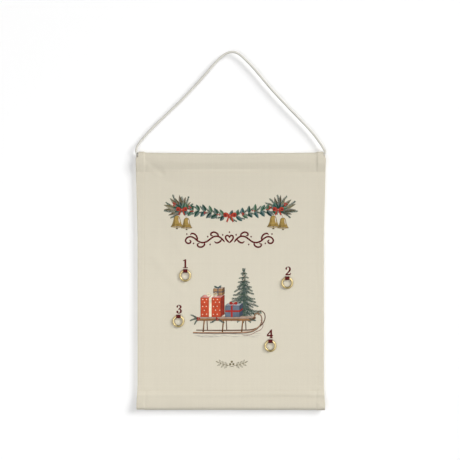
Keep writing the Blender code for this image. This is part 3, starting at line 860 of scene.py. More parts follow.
def fold_forward(x, z):
    """How far the front cloth stands towards the viewer of its flat place."""
    forward = 0.0
    for side in (-1, 1):
        depth = CORNER_CREASE_DEPTHS[side]
        start = (side * (HEM_LINE_X - CORNER_CREASE_INSET), TOP_AXIS_Z - CORNER_CREASE_DROP)
        end = (side * (HEM_LINE_X - CORNER_CREASE_REACH), TOP_SEAM_Z - CORNER_CREASE_PAST_SEAM)
        forward -= depth * ridge(distance_to_line(x, z, start, end), CORNER_CREASE_WIDTH)
        start = (side * (HEM_LINE_X + LOW_CREASE_PAST_HEM), BOTTOM_AXIS_Z + LOW_CREASE_RISE)
        end = (side * (HEM_LINE_X - LOW_CREASE_REACH), BOTTOM_SEAM_Z - LOW_CREASE_RISE)
        forward += 0.5 * depth * ridge(distance_to_line(x, z, start, end), LOW_CREASE_WIDTH)
    for start, end, depth, width in SLACK_CREASES:
        forward += depth * ridge(distance_to_line(x, z, start, end), width)
    full_drop = SEAM_FULLNESS_DROP * max(0, 1 - ((x - SEAM_FULLNESS_SIDE) / SEAM_FULLNESS_REACH) ** 2)
    below_seam = TOP_SEAM_Z - z
    fullness = SEAM_FULLNESS_SLOPE * max(0, full_drop - max(0, below_seam))
    forward += fullness * ease(1 + min(0, below_seam) / SEAM_FULLNESS_EASE)
    fold_z = BOTTOM_AXIS_Z - DOWEL_RADIUS + BOTTOM_FOLD_RISE
    fold_z += BOTTOM_FOLD_SWAY * math.sin(x / BOTTOM_FOLD_SWAY_LENGTH)
    to_right = ease(x / HEM_LINE_X + 0.5)
    forward -= BOTTOM_FOLD_DEPTH * ridge(z - fold_z, BOTTOM_FOLD_WIDTH) * mix(0.1, 1.0, to_right)
    forward += LEFT_FULLNESS * ridge(z - fold_z + LEFT_FULLNESS_DROP, LEFT_FULLNESS_WIDTH) * (1 - to_right)
    inside = ease((HEM_LINE_X + WAVE_PAST_HEM - abs(x)) / WAVE_HEM_EASE)
    inside *= ease((TOP_SEAM_Z - z) / WAVE_SEAM_EASE + 0.4) * ease((z - BOTTOM_SEAM_Z) / WAVE_SEAM_EASE + 0.4)
    forward += BROAD_WAVE_DEPTH * soft_noise(x, z * 0.6, BROAD_WAVE_LENGTH, 3.1) * inside
    forward += FINE_WAVE_DEPTH * soft_noise(x, z, FINE_WAVE_LENGTH, 7.7)
    return forward + sewn_relief(x, z)


def sewn_relief(x, z):
    """Puckers and the dent of a stitch line beside each row of stitches."""
    relief = 0.0
    for seam_z in (TOP_SEAM_Z, BOTTOM_SEAM_Z):
        near = ridge(z - seam_z, PUCKER_REACH)
        relief += PUCKER_DEPTH * near * soft_noise(x, 0.0, PUCKER_LENGTH, seam_z * 50) * PUCKER_SWING
        relief -= STITCH_LINE_DEPTH * ridge(z - seam_z, STITCH_LINE_WIDTH)
    from_hem = abs(x) - HEM_LINE_X
    if not BOTTOM_SEAM_Z < z < TOP_SEAM_Z:
        relief -= HEM_END_DENT * ridge(from_hem + HEM_END_WIDTH, HEM_END_WIDTH)
    else:
        near = ridge(from_hem, PUCKER_REACH)
        seed = math.copysign(20.0, x)
        relief += PUCKER_DEPTH * near * soft_noise(0.0, z, PUCKER_LENGTH, seed) * PUCKER_SWING
        relief -= STITCH_LINE_DEPTH * ridge(from_hem, STITCH_LINE_WIDTH)
    return relief


def make_canvas():
    """The whole cloth as one strip: casings, sheet and hems, with its folds and a thickness."""
    single, counts = cloth_profile(CLOTH_THICKNESS)
    hemmed, _ = cloth_profile(HEM_THICKNESS, counts)
    columns = cloth_columns()
    cloth = add_patch("canvas_sheet", len(columns) - 1, len(single) - 1)
    travelled = [0.0]
    for before, after in zip(single, single[1:]):
        travelled.append(travelled[-1] + (after - before).xy.length)
    across_travelled = [0.0]
    flat_spots = []
    for side, kind, place, depth in columns:
        x = HEM_LINE_X + (PANEL_WIDTH / 2 - HEM_LINE_X) * place if kind == "hem" else place
        flat_spots.append(Vector((side * x, depth)))
    for before, after in zip(flat_spots, flat_spots[1:]):
        across_travelled.append(across_travelled[-1] + (after - before).length)
    uv_places = {}
    doubled_painted_shade = cloth.data.attributes.new("doubled_painted_shade", "FLOAT", "POINT")
    for vertex in cloth.data.vertices:
        column_index = round((vertex.co.x + 0.5) * (len(columns) - 1))
        row = round((0.5 - vertex.co.y) * (len(single) - 1))
        side, kind, place, depth = columns[column_index]
        hem_share = 1.0 if kind == "hem" else ease(1.0 - (HEM_LINE_X - place) / HEM_STEP_WIDTH)
        spot = single[row].lerp(hemmed[row], hem_share)
        y, z, front = spot
        if kind == "hem":
            edge = edge_half_width(z)
            if y < MOUTH_REACH:
                edge = mix(edge, MOUTH_X, ease((z - TOP_AXIS_Z + MOUTH_DROP) / MOUTH_DROP + 0.5))
            x = mix(HEM_LINE_X, edge, place)
        else:
            x = place
        way_in = inward(single, row).lerp(inward(hemmed, row), hem_share).normalized()
        y += way_in.x * depth
        z += way_in.y * depth
        y -= fold_forward(side * x, z) * front
        lifted = ease((z - TOP_AXIS_Z) / DOWEL_RADIUS)
        z += lifted * (CASING_BOW * (x / HEM_LINE_X) ** 2 + (CORNER_LIFT - CASING_BOW) * hem_share)
        z -= lifted * CASING_SAG * max(0.0, 1 - (x / HEM_LINE_X) ** 2)
        z += ease((BOTTOM_AXIS_Z - z) / DOWEL_RADIUS) * CORNER_PINCHES[side] * hem_share
        vertex.co = (side * x, y, z)
        uv_places[vertex.index] = (across_travelled[column_index], travelled[row])
        # Painted shade where the cloth lies doubled, most on the bottom casing
        top_shade = TOP_CASING_SHADE * ease((z - TOP_SEAM_Z) / TOP_SHADE_EASE + 0.5)
        from_shade = BOTTOM_SEAM_Z - BOTTOM_SHADE_DROP - z
        bottom_shade = BOTTOM_CASING_SHADE * ease(from_shade / BOTTOM_SHADE_EASE + 0.5)
        doubled_painted_shade.data[vertex.index].value = max(top_shade, bottom_shade, HEM_SHADE * (kind == "hem"))
    uv_layer = cloth.data.uv_layers.active
    for loop in cloth.data.loops:
        uv_layer.data[loop.index].uv = uv_places[loop.vertex_index]
    wall = cloth.modifiers.new("thickness", "SOLIDIFY")
    wall.thickness = CLOTH_THICKNESS * CLOTH_SOLID_SHARE
    wall.offset = 0.0
    apply_modifier(cloth, "thickness")
    shade_smooth(cloth)
    dress(cloth, "canvas_sheet", CANVAS, "panel", "cream_canvas", "canvas_panel")
    return cloth


def surface_tree(thing):
    mesh = thing.data
    return BVHTree.FromPolygons([v.co for v in mesh.vertices], [tuple(p.vertices) for p in mesh.polygons])


def front_y(x, z):
    """The y of the cloth's front face."""
    hit = CLOTH_TREE.ray_cast(Vector((x, -0.1, z)), Vector((0, 1, 0)))[0]
    return hit.y if hit else SHEET_FRONT_Y


def back_y(x, z):
    """The y of the cloth's back face."""
    hit = CLOTH_TREE.ray_cast(Vector((x, 0.1, z)), Vector((0, -1, 0)))[0]
    return hit.y if hit else SHEET_FRONT_Y + CLOTH_THICKNESS


# Needlework

def make_stitch_form():
    """One stitch of thread, 1 long and 1 thick along X: a rounded bar that tapers into its holes."""
    clear_selection()
    bpy.ops.mesh.primitive_uv_sphere_add(segments=8, ring_count=6, radius=0.5, rotation=(0, math.pi / 2, 0))
    form = bpy.context.object
    bpy.ops.object.transform_apply(rotation=True)
    for vertex in form.data.vertices:
        x, y, z = vertex.co
        stretched = math.copysign(abs(2 * x) ** 0.8, x)
        slim = (1 - abs(stretched) ** 3.2) ** (1 / 3.2) if abs(stretched) < 1 else 0.0
        flat = math.hypot(y, z) or 1.0
        vertex.co = (stretched / 2, y / flat * slim / 2, z / flat * slim / 2)
    mesh = form.data
    bpy.data.objects.remove(form)
    return mesh


class Needlework:
    """Stitches laid one by one, each a copy of the stitch form."""

    def __init__(self):
        self.built = bmesh.new()

    def stitch(self, start, end, thick, out, crown):
        """A stitch from start to end that arches along out by its crown."""
        count = len(self.built.verts)
        self.built.from_mesh(STITCH_FORM)
        self.built.verts.ensure_lookup_table()
        along = (end - start).normalized()
        side = out.cross(along).normalized()
        up = along.cross(side)
        for vertex in self.built.verts[count:]:
            x, y, z = vertex.co
            arch = crown * (1 - 4 * x * x)
            vertex.co = start.lerp(end, x + 0.5) + side * (y * thick) + up * (z * thick * 0.8 + arch)

    def behind(self, start, end):
        """The same stitch on the back of the cloth, flatter than in front."""
        ends = [Vector((p.x, back_y(p.x, p.z) - SATIN_SINK / 2, p.z)) for p in (start, end)]
        self.stitch(*ends, SATIN_THREAD, -FORWARD, SATIN_SINK)

    def finish(self, name, material, slot, *nodes):
        mesh = bpy.data.meshes.new(name)
        self.built.to_mesh(mesh)
        self.built.free()
        thing = add_object(name, mesh)
        shade_smooth(thing)
        dress(thing, name, material, "panel", slot, *nodes)


def sew_row(name, start, end, node):
    """A straight row of stitches between two (x, z) places, seen on both faces of the cloth."""
    work = Needlework()
    line = [Vector((x, 0, z)) for x, z in (start, end)]
    pitch = SEAM_STITCH_LENGTH + SEAM_STITCH_GAP
    stops = even_points(line, round(length_of(line) / pitch) + 1)
    trim = SEAM_STITCH_GAP / pitch / 2
    for a, b in zip(stops, stops[1:]):
        holes = a.lerp(b, trim), a.lerp(b, 1 - trim)
        for face, out in ((front_y, FORWARD), (back_y, -FORWARD)):
            ends = [Vector((p.x, face(p.x, p.z), p.z)) - out * SEAM_THREAD * 0.25 for p in holes]
            work.stitch(*ends, SEAM_THREAD, out, SEAM_THREAD * 0.35)
    work.finish(name, CREAM_THREAD, "cream_thread", node)


def sew_seams():
    """The stitches that close the two casings and the two hems."""
    for name, seam_z in (("top", TOP_SEAM_Z), ("bottom", BOTTOM_SEAM_Z)):
        node = f"{name}_seam_thread"
        low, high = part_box(node)
        sew_row(f"{name}_casing_stitches", (low.x, seam_z), (high.x, seam_z), node)
    for name in ("left", "right"):
        node = f"{name}_hem_thread"
        low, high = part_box(node)
        x = (low.x + high.x) / 2
        x += math.copysign(HEM_STITCH_SHIFT, x)
        sew_row(f"{name}_hem_stitches", (x, high.z), (x, low.z), node)


def runs_through(tree, low, high, z):
    """The stretches of a flat shape that a level line at z crosses, as pairs of x."""
    y = (low.y + high.y) / 2
    x = low.x - MILLIMETRE
    crossings = []
    while True:
        hit = tree.ray_cast(Vector((x, y, z)), Vector((1, 0, 0)))[0]
        if hit is None:
            break
        crossings.append(hit.x)
        x = hit.x + RAY_STEP
    return list(zip(crossings[::2], crossings[1::2]))


def work_number(number):
    """A numeral in satin stitch: level threads side by side across every stroke."""
    node = f"number_{number}"
    low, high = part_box(node)
    tree = surface_tree(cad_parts[node])
    chance = random.Random(number)
    work = Needlework()
    rows = round((high.z - low.z) / SATIN_PITCH)
    for row in range(rows):
        z = low.z + (row + 0.5) * (high.z - low.z) / rows
        for x0, x1 in runs_through(tree, low, high, z):
            if x1 - x0 < SATIN_THREAD:
                continue
            x0 -= SATIN_SPREAD * chance.uniform(0.5, 1.0)
            x1 += SATIN_SPREAD * chance.uniform(0.5, 1.0)
            slant = SATIN_PITCH * chance.uniform(0.2, 0.5)
            start = Vector((x0, front_y(x0, z) + SATIN_SINK, z - slant))
            end = Vector((x1, front_y(x1, z) + SATIN_SINK, z + slant))
            crown = SATIN_CROWN * (0.7 + chance.uniform(0.0, 0.3)) + NUMERAL_FULLNESS * min(x1 - x0, 0.006)
            work.stitch(start, end, SATIN_THREAD, FORWARD, crown)
            work.behind(start, end)
    work.finish(f"numeral_{number}", RED_THREAD, "red_thread", node)


def make_lashing(number):
    """Turns of thread side by side round the ring's wire, through the cloth and across its back."""
    node = f"ring_stitch_{number}"
    low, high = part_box(node)
    centre = (low + high) / 2
    reach = (high.z - low.z) / 2
    hinge_y = low.y + reach
    thick = LASHING_THREAD
    radius = reach - thick / 2
    back = high.y - thick / 2
    chance = random.Random(10 + number)
    halfway = mix(hinge_y, back, 0.5)
    # The thread goes round the wire in front, through the cloth, and flat across its back
    turns_round = [math.pi * (step / 10 - 0.5) for step in range(11)]
    loop = [(hinge_y - radius * math.cos(t), radius * math.sin(t)) for t in turns_round]
    flat = radius * 0.86
    loop += [(halfway, radius), (back, flat), (back, 0), (back, -flat), (halfway, -radius), loop[0]]
    loop = [(0, y, centre.z + rise) for y, rise in loop]
    rings = LASHING_RINGS
    line = even_points(smooth_points(loop, FINE_STEP), rings + 1)
    turns = []
    for turn in range(LASHING_TURNS):
        x = mix(low.x - LASHING_SPREAD, high.x + LASHING_SPREAD, turn / (LASHING_TURNS - 1))
        lean = chance.uniform(-LASHING_LEAN, LASHING_LEAN)
        slack = chance.uniform(*LASHING_SLACKS)

        def skin(along_share, round_share):
            index = round(along_share * rings) % rings
            ahead = (line[(index + 1) % rings] - line[index - 1]).normalized()
            to_wire = Vector((0, ahead.z, -ahead.y))
            angle = 2 * math.pi * round_share
            offset = to_wire * (math.cos(angle) * thick / 2 - slack)
            offset.x = math.sin(angle) * thick * 0.54
            height = (line[index].z - centre.z) / reach
            return line[index] + offset + Vector((x + lean * height, 0, 0))

        turns.append(make_tube(f"turn_{number}_{turn}", rings, LASHING_SIDES, skin))
    clear_selection()
    for piece in turns:
        piece.select_set(True)
    bpy.context.view_layer.objects.active = turns[0]
    bpy.ops.object.join()
    shade_smooth(turns[0])
    dress(turns[0], f"ring_lashing_{number}", RED_THREAD, "panel", "red_thread", node)


# Printed design

LEAF_GREENS = [tone(26, 70, 56), tone(44, 88, 66), tone(18, 54, 50), tone(66, 102, 74), tone(34, 82, 78)]
FIR_GREENS = [tone(24, 50, 42), tone(38, 68, 54), tone(18, 40, 38), tone(66, 90, 62), tone(42, 74, 72)]
OLIVE_BROWNS = [tone(108, 100, 70), tone(88, 80, 58), tone(126, 116, 82), tone(100, 86, 58)]
BARK = tone(104, 72, 48)
DARK_LINE = tone(46, 36, 30)
PEN_BROWN = tone(114, 104, 74)
BERRY_RED = tone(164, 44, 36)
BERRY_DARK = tone(104, 22, 22)
CREAM_LIGHT = tone(238, 226, 198)
BOW_RED = tone(178, 62, 42)
BOW_DARK = tone(116, 30, 26)
BELL_GOLD = tone(164, 136, 72)
BELL_DARK = tone(92, 74, 42)
ORANGE_RED = tone(192, 74, 44)
ORANGE_DARK = tone(138, 44, 30)
BLUE_GREY = tone(98, 110, 124)
BLUE_DARK = tone(62, 72, 88)
KRAFT = tone(166, 128, 88)
KRAFT_DARK = tone(116, 84, 56)
SLEDGE_WOOD = tone(150, 108, 70)
SLEDGE_DARK = tone(96, 64, 42)
GROUND_GREY = tone(176, 168, 152)

# Centres of the designs on the cloth, in metres. What is drawn round them is in millimetres
GARLAND_CENTRE = (-0.0015, -0.2975)
FLOURISH_CENTRE = (-0.0025, -0.3480)
SLEDGE_CENTRE = (-0.0065, -0.4650)
SPRIG_CENTRE = (0.0020, -0.5830)
SWAG_REACH = 92
BOX_RISE = 0.75


class PrintedInk:
    """Flat strokes and washes of ink that lie on the cloth's front, in millimetres from a centre."""

    def __init__(self, centre_x, centre_z, seed):
        self.built = bmesh.new()
        self.ink = self.built.verts.layers.float_color.new("ink")
        self.lift = self.built.verts.layers.float.new("lift")
        self.centre = (centre_x, centre_z)
        self.chance = random.Random(seed)
        self.count = 0

    def point(self, place, colour, layer):
        x, z = self.centre[0] + place[0] * MILLIMETRE, self.centre[1] + place[1] * MILLIMETRE
        vertex = self.built.verts.new((x, 0, z))
        vertex[self.ink] = colour
        vertex[self.lift] = INK_LIFT + INK_LAYER * layer + INK_LAYER / 8 * (self.count % 7)
        return vertex

    def stroke(self, places, widths, colours, layer):
        """A brush stroke through the places: widths and colours run from its start to its end."""
        self.count += 1
        line = [Vector((x, 0, z)) for x, z in places]
        rails = []
        for index, place in enumerate(line):
            side = sideways(heading(line, index))
            share = index / (len(line) - 1)
            where = share * (len(widths) - 1)
            low = min(int(where), len(widths) - 2)
            width = mix(widths[low], widths[low + 1], where - low)
            colour = [mix(a, b, share) for a, b in zip(colours[0], colours[-1])]
            edges = [place + side * width / 2, place - side * width / 2]
            rails.append([self.point((p.x, p.z), colour, layer) for p in edges])
        for (a, b), (c, d) in zip(rails, rails[1:]):
            self.built.faces.new((a, b, d, c))

    def line(self, places, width, colour, layer):
        """An even pen line that swells a little in its middle."""
        if len(places) > 2:
            places = smooth_flat(places, 1.6)
        swell = width * self.chance.uniform(1.0, 1.35)
        self.stroke(places, [width * 0.6, swell, width * 0.5], [colour], layer)

    def wash(self, places, colour, layer, rim, smooth=False):
        """A filled shape whose pigment gathers in a darker rim."""
        self.count += 1
        if smooth:
            places = smooth_flat(places + places[:1], 1.2)[:-1]
        middle_x = sum(x for x, _ in places) / len(places)
        middle_z = sum(z for _, z in places) / len(places)
        reach = min(math.hypot(x - middle_x, z - middle_z) for x, z in places)
        inner_share = 1 - min(0.35, 0.9 / max(reach, 0.5))
        outer = [self.point(p, rim, layer) for p in places]
        inner = [self.point((mix(middle_x, x, inner_share), mix(middle_z, z, inner_share)), colour, layer)
                 for x, z in places]
        for index in range(len(places)):
            after = (index + 1) % len(places)
            self.built.faces.new((outer[index], outer[after], inner[after], inner[index]))
        face = self.built.faces.new(inner)
        made = bmesh.ops.triangulate(self.built, faces=[face])["faces"]
        rings = [f for v in outer for f in v.link_faces]
        self.divide(list(dict.fromkeys(made + rings)), outer)

    def divide(self, faces, edge):
        """Cut a wide shape into cells, so that it can follow the folds of the cloth."""
        for axis in (0, 2):
            low = min(v.co[axis] for v in edge)
            high = max(v.co[axis] for v in edge)
            for cell in range(math.ceil(low / INK_CELL), math.floor(high / INK_CELL) + 1):
                place, normal = Vector(), Vector()
                place[axis] = cell * INK_CELL
                normal[axis] = 1.0
                geometry = set(faces)
                for face in faces:
                    geometry.update(face.edges)
                    geometry.update(face.verts)
                cut = bmesh.ops.bisect_plane(self.built, geom=list(geometry), dist=0.000001, plane_co=place,
                                             plane_no=normal)
                faces = [part for part in cut["geom"] if isinstance(part, bmesh.types.BMFace)]

    def finish(self, name):
        """Lay the ink on the cloth and close its sides and back."""
        mesh = self.built
        top = mesh.verts[:]
        made = bmesh.ops.extrude_face_region(mesh, geom=mesh.faces[:], use_keep_orig=True)
        under = [part for part in made["geom"] if isinstance(part, bmesh.types.BMVert)]
        for vertex in top:
            vertex.co.y = front_y(vertex.co.x, vertex.co.z) - vertex[self.lift]
        for vertex in under:
            vertex.co.y = front_y(vertex.co.x, vertex.co.z) + INK_SINK
        bmesh.ops.recalc_face_normals(mesh, faces=mesh.faces[:])
        data = bpy.data.meshes.new(name)
        mesh.to_mesh(data)
        mesh.free()
        dress(add_object(name, data), name, PRINT, "panel", "cream_canvas")


def turned(way, degrees):
    """A flat direction turned to the left."""
    sine, cosine = math.sin(math.radians(degrees)), math.cos(math.radians(degrees))
    return Vector((way.x * cosine - way.y * sine, way.x * sine + way.y * cosine))


def pointing(degrees):
    """The direction at an angle up from the right, and the one square to it."""
    along = turned(Vector((1, 0)), degrees)
    return along, Vector((-along.y, along.x))


def placed(shape, place, size, flank=1):
    """A shape drawn one unit large, made the given size at its place, or mirrored there."""
    return [(place[0] + flank * x * size, place[1] + z * size) for x, z in shape]


def lighter(colour, share):
    return [mix(c, 1.0, share) for c in colour[:3]] + [1.0]


def darker(colour, share):
    return [c * (1 - share) for c in colour[:3]] + [1.0]


def draw_fir_twig(ink, base, degrees, length, layer, needle=5.0, bend=0.12, spacing=1.05):
    """A fir twig: a bark stem with needles on both sides that shorten towards its tip."""
    greens = FIR_GREENS
    chance = ink.chance
    start = Vector(base)
    along, side = pointing(degrees)
    side *= bend * length * chance.choice((-1, 1))

    def stem(share):
        return start + along * length * share + side * 4 * share * (1 - share) * 0.5

    ink.stroke([stem(step / 5) for step in range(6)], [0.9, 0.7, 0.35], [BARK, greens[0]], layer)
    count = round(length / spacing)
    for index in range(count):
        share = (index + 0.5) / count
        ahead = (stem(share + 0.02) - stem(share - 0.02)).normalized()
        for flank in (-1, 1):
            reach = needle * (1.0 - 0.5 * share) * chance.uniform(0.75, 1.15) * (0.6 + 0.4 * ease(share * 5))
            way = turned(ahead, flank * chance.uniform(34, 60))
            here = stem(share)
            places = [here, here + (way * 0.5 + ahead * 0.06) * reach, here + (way + ahead * 0.2) * reach]
            green = chance.choice(greens)
            colours = [green, lighter(green, 0.10)]
            ink.stroke(places, [0.5, 0.66, 0.12], colours, layer + chance.choice((0, 1, 2)))
    for fan in (-22, 0, 20):
        tip = stem(1.0) + turned(along, fan) * needle * 0.5
        places = [stem(0.97), stem(1.0).lerp(tip, 0.5), tip]
        ink.stroke(places, [0.4, 0.6, 0.1], [greens[1], greens[3]], layer + 2)


def draw_leaf(ink, base, degrees, length, width, colour, layer):
    """A pointed leaf in two halves, one in shade, with a midrib and side veins."""
    along, side = pointing(degrees)
    start = Vector(base)
    steps = 8
    for flank, tint in ((1, lighter(colour, 0.10)), (-1, darker(colour, 0.22))):
        rail = []
        for step in range(steps + 1):
            share = step / steps
            half = width / 2 * math.sin(math.pi * share ** 0.8) ** 0.85
            rail.append((start + along * length * share, half))
        places = [p + side * flank * half / 2 for p, half in rail]
        ink.stroke(places, [half for _, half in rail], [tint], layer)
    midrib = [start - along * 1.2, start + along * length * 0.5, start + along * length * 0.94]
    ink.stroke(midrib, [0.5, 0.35, 0.1], [darker(colour, 0.45), darker(colour, 0.35)], layer + 1)
    for step in (2, 3, 4, 5):
        place = start + along * length * step / steps
        for flank in (-1, 1):
            way = turned(along, flank * 42) * width * 0.30
            ink.stroke([place, place + way], [0.24, 0.08], [darker(colour, 0.35)], layer + 1)


def round_outline(place, radius):
    turns = [math.tau * step / ROUND_POINTS for step in range(ROUND_POINTS)]
    return [(place[0] + radius * math.cos(turn), place[1] + radius * math.sin(turn)) for turn in turns]


def draw_berry(ink, place, radius, layer):
    """A round berry with a glint and a dark base."""
    ink.wash(round_outline(place, radius), BERRY_RED, layer, BERRY_DARK)
    glint = placed([(0.28, 0.34), (0.58, 0.22)], place, radius)
    ink.stroke(glint, [radius * 0.34, radius * 0.2], [CREAM_LIGHT], layer + 1)
    base = placed([(-0.2, -0.55), (0.1, -0.6)], place, radius)
    ink.stroke(base, [0.35, 0.2], [DARK_LINE], layer + 1)


def draw_berries(ink, place, count, layer, radius=1.9):
    """A cluster of berries round a place."""
    for index in range(count):
        turn = math.tau * (index + ink.chance.uniform(-0.15, 0.15)) / count
        reach = radius * 1.15
        here = (place[0] + reach * math.cos(turn), place[1] + reach * math.sin(turn))
        draw_berry(ink, here, radius * ink.chance.uniform(0.85, 1.1), layer)


def draw_bow(ink, place, size, colour, shade, layer, tails=True):
    """A ribbon bow: two loops with a fold in each, two notched tails and a knot."""
    tail = [(0.0, -0.05), (0.16, -0.35), (0.22, -0.68), (0.40, -1.02), (0.52, -0.84), (0.62, -0.96),
            (0.44, -0.58), (0.34, -0.24), (0.12, 0.02)]
    tail_crease = [(0.10, -0.12), (0.24, -0.42), (0.36, -0.80)]
    loop = [(0.04, 0.04), (0.30, 0.34), (0.62, 0.46), (0.88, 0.36), (0.96, 0.08), (0.86, -0.18),
            (0.58, -0.26), (0.28, -0.14)]
    hollow_shade = [(0.42, 0.10), (0.60, 0.22), (0.80, 0.18), (0.84, 0.04), (0.72, -0.08), (0.52, -0.04)]
    loop_creases = [[(0.08, 0.14), (0.24, 0.19), (0.40, 0.18)], [(0.08, -0.04), (0.24, 0.01), (0.40, 0.0)]]
    knot = [(-0.13, -0.14), (0.0, -0.17), (0.13, -0.13), (0.15, 0.05), (0.08, 0.16), (-0.07, 0.16),
            (-0.15, 0.06)]
    for flank in (-1, 1):
        if tails:
            ink.wash(placed(tail, place, size, flank), colour, layer, shade)
            ink.line(placed(tail_crease, place, size, flank), 0.35, shade, layer + 1)
        ink.wash(placed(loop, place, size, flank), colour, layer + 1, shade, smooth=True)
        ink.wash(placed(hollow_shade, place, size, flank), shade, layer + 2, shade, smooth=True)
        for crease in loop_creases:
            ink.line(placed(crease, place, size, flank), 0.32, shade, layer + 2)
    ink.wash(placed(knot, place, size), lighter(colour, 0.08), layer + 3, shade, smooth=True)


def draw_bell(ink, place, size, layer):
    """A small hanging bell with a banded skirt, a glint and a clapper. The place is its top."""
    half = [(0.07, 0.0), (0.16, -0.04), (0.24, -0.14), (0.29, -0.34), (0.34, -0.60), (0.46, -0.84),
            (0.52, -0.94)]
    shade = [(0.16, -0.06), (0.25, -0.16), (0.29, -0.36), (0.34, -0.62), (0.46, -0.86), (0.20, -0.88),
             (0.16, -0.5)]
    rim = [(-0.53, -0.92), (0.0, -1.0), (0.53, -0.92), (0.52, -0.98), (0.0, -1.07), (-0.52, -0.98)]
    clapper = placed([(0, -0.95), (0, -1.16)], place, size)
    ink.stroke(clapper, [size * 0.10, size * 0.20], [darker(BELL_DARK, 0.2), BELL_DARK], layer)
    outline = placed(half, place, size) + placed(reversed(half), place, size, -1)
    ink.wash(outline, BELL_GOLD, layer + 1, BELL_DARK)
    ink.wash(placed(shade, place, size, -1), darker(BELL_GOLD, 0.30), layer + 2, BELL_DARK)
    glint = placed([(0.16, -0.16), (0.19, -0.4), (0.23, -0.62)], place, size)
    ink.line(glint, size * 0.07, lighter(BELL_GOLD, 0.55), layer + 3)
    for rise, wide in ((-0.70, 0.37), (-0.76, 0.40)):
        band = placed([(-wide, rise), (0, rise - 0.05), (wide, rise)], place, size)
        ink.line(band, 0.4, BELL_DARK, layer + 3)
    ink.wash(placed(rim, place, size), lighter(BELL_GOLD, 0.15), layer + 3, BELL_DARK)


def mirrored(degrees, flank):
    """An angle as it is on the left flank, or its mirror image on the right."""
    return degrees if flank < 0 else 180 - degrees


def swag_place(share):
    """A point on the swag's line, from 0 at its left end to 1 at its right."""
    out = mix(-1, 1, share)
    return Vector((out * SWAG_REACH, 10 - 15 * (1 - out ** 2) - 3 * math.cos(out * math.pi * 2)))


def print_garland():
    """A swag of fir, leaves and berries with a bow in its middle and a bell under each end."""
    ink = PrintedInk(*GARLAND_CENTRE, 21)
    chance = ink.chance
    # Twigs and leaves of the left bunch: degrees, length. The right bunch mirrors them
    twigs = ((90, 25), (122, 30), (150, 34), (182, 33), (58, 26), (28, 24), (214, 26), (-14, 22))
    long_leaves = ((78, 27), (100, 30), (116, 28), (136, 33), (160, 36), (176, 34), (196, 27), (42, 24))
    short_leaves = ((105, 15), (140, 17), (40, 15), (168, 18), (70, 14), (200, 14), (10, 14))
    for flank in (-1, 1):
        x = flank * 90
        for bell_x, bell_z, size in ((-9, -6, 22), (9, -10, 20)):
            ink.line([(x, 6), (x + bell_x * 0.5, 0), (x + bell_x, bell_z)], 0.7, BERRY_DARK, 4)
            draw_bell(ink, (x + bell_x, bell_z), size, 5)
        for degrees, length in twigs:
            way = mirrored(degrees, flank) + chance.uniform(-5, 5)
            draw_fir_twig(ink, (x, 4), way, length * chance.uniform(0.9, 1.08), 0)
        for degrees, length in long_leaves:
            way = mirrored(degrees, flank) + chance.uniform(-4, 4)
            draw_leaf(ink, (x, 3), way, length, length * 0.24, chance.choice(OLIVE_BROWNS), 1)
        for degrees, length in short_leaves:
            way = mirrored(degrees, flank)
            draw_leaf(ink, (x, 5), way, length, length * 0.42, chance.choice(LEAF_GREENS), 6)
        draw_bow(ink, (x, 5), 11, BOW_RED, BOW_DARK, 9)
        draw_berries(ink, (x + flank * 14, 15), 3, 8)
        draw_berries(ink, (x - flank * 15, 9), 3, 8, 1.7)
    steps = 16
    for step in range(1, steps):
        share = step / steps
        here = swag_place(share)
        ahead = swag_place(share + 0.02) - here
        outward = math.degrees(math.atan2(ahead.y, ahead.x)) + (180 if share < 0.5 else 0)
        for spread in (-30, 28):
            way = outward + spread + chance.uniform(-9, 9)
            draw_fir_twig(ink, here, way, chance.uniform(13, 17), 0, needle=3.9)
        for spread in (-62, 60):
            way = outward + spread + chance.uniform(-16, 16)
            length, width = chance.uniform(11.5, 15.5), chance.uniform(6.2, 7.8)
            draw_leaf(ink, here, way, length, width, chance.choice(LEAF_GREENS), 5 + step % 2)
        if step % 2 == 0:
            berry_place = here + Vector((chance.uniform(-2, 2), chance.uniform(-3, 3)))
            draw_berries(ink, berry_place, chance.choice((2, 3)), 7, 1.6)
    draw_bow(ink, tuple(swag_place(0.5) + Vector((0, 2))), 13, BOW_RED, BOW_DARK, 9)
    ink.finish("printed_garland")


def draw_box(ink, box, colour, shade, layer):
    """A wrapped box seen a little from above and from its right: left, low, width, height and depth."""
    left, low, width, height, lean = box
    right, high, rise = left + width, low + height, lean * BOX_RISE
    front = [(left, low), (right, low), (right, high), (left, high)]
    top = [(left, high), (right, high), (right + lean, high + rise), (left + lean, high + rise)]
    side = [(right, low), (right + lean, low + rise), (right + lean, high + rise), (right, high)]
    ink.wash(side, shade, layer, darker(shade, 0.25))
    ink.wash(top, lighter(colour, 0.22), layer, colour)
    ink.wash(front, colour, layer, darker(colour, 0.22))
    for index in range(round(width / 2.2)):
        x = left + (index + ink.chance.uniform(0.3, 0.7)) * 2.2
        tall = height * ink.chance.uniform(0.15, 0.45)
        ink.stroke([(x, low + 0.5), (x + 0.7, low + tall)], [0.5, 0.15], [shade, colour], layer + 1)
    for places in (front, top, side):
        for a, b in zip(places, places[1:] + places[:1]):
            wobble = ink.chance.uniform(-0.25, 0.25)
            bend = (mix(a[0], b[0], 0.5) + wobble, mix(a[1], b[1], 0.5) - wobble)
            ink.line([a, bend, b], 0.42, DARK_LINE, layer + 2)


def draw_spot(ink, place, radius, colour, layer):
    """A brush dab."""
    ink.wash(round_outline(place, radius), colour, layer, darker(colour, 0.15))


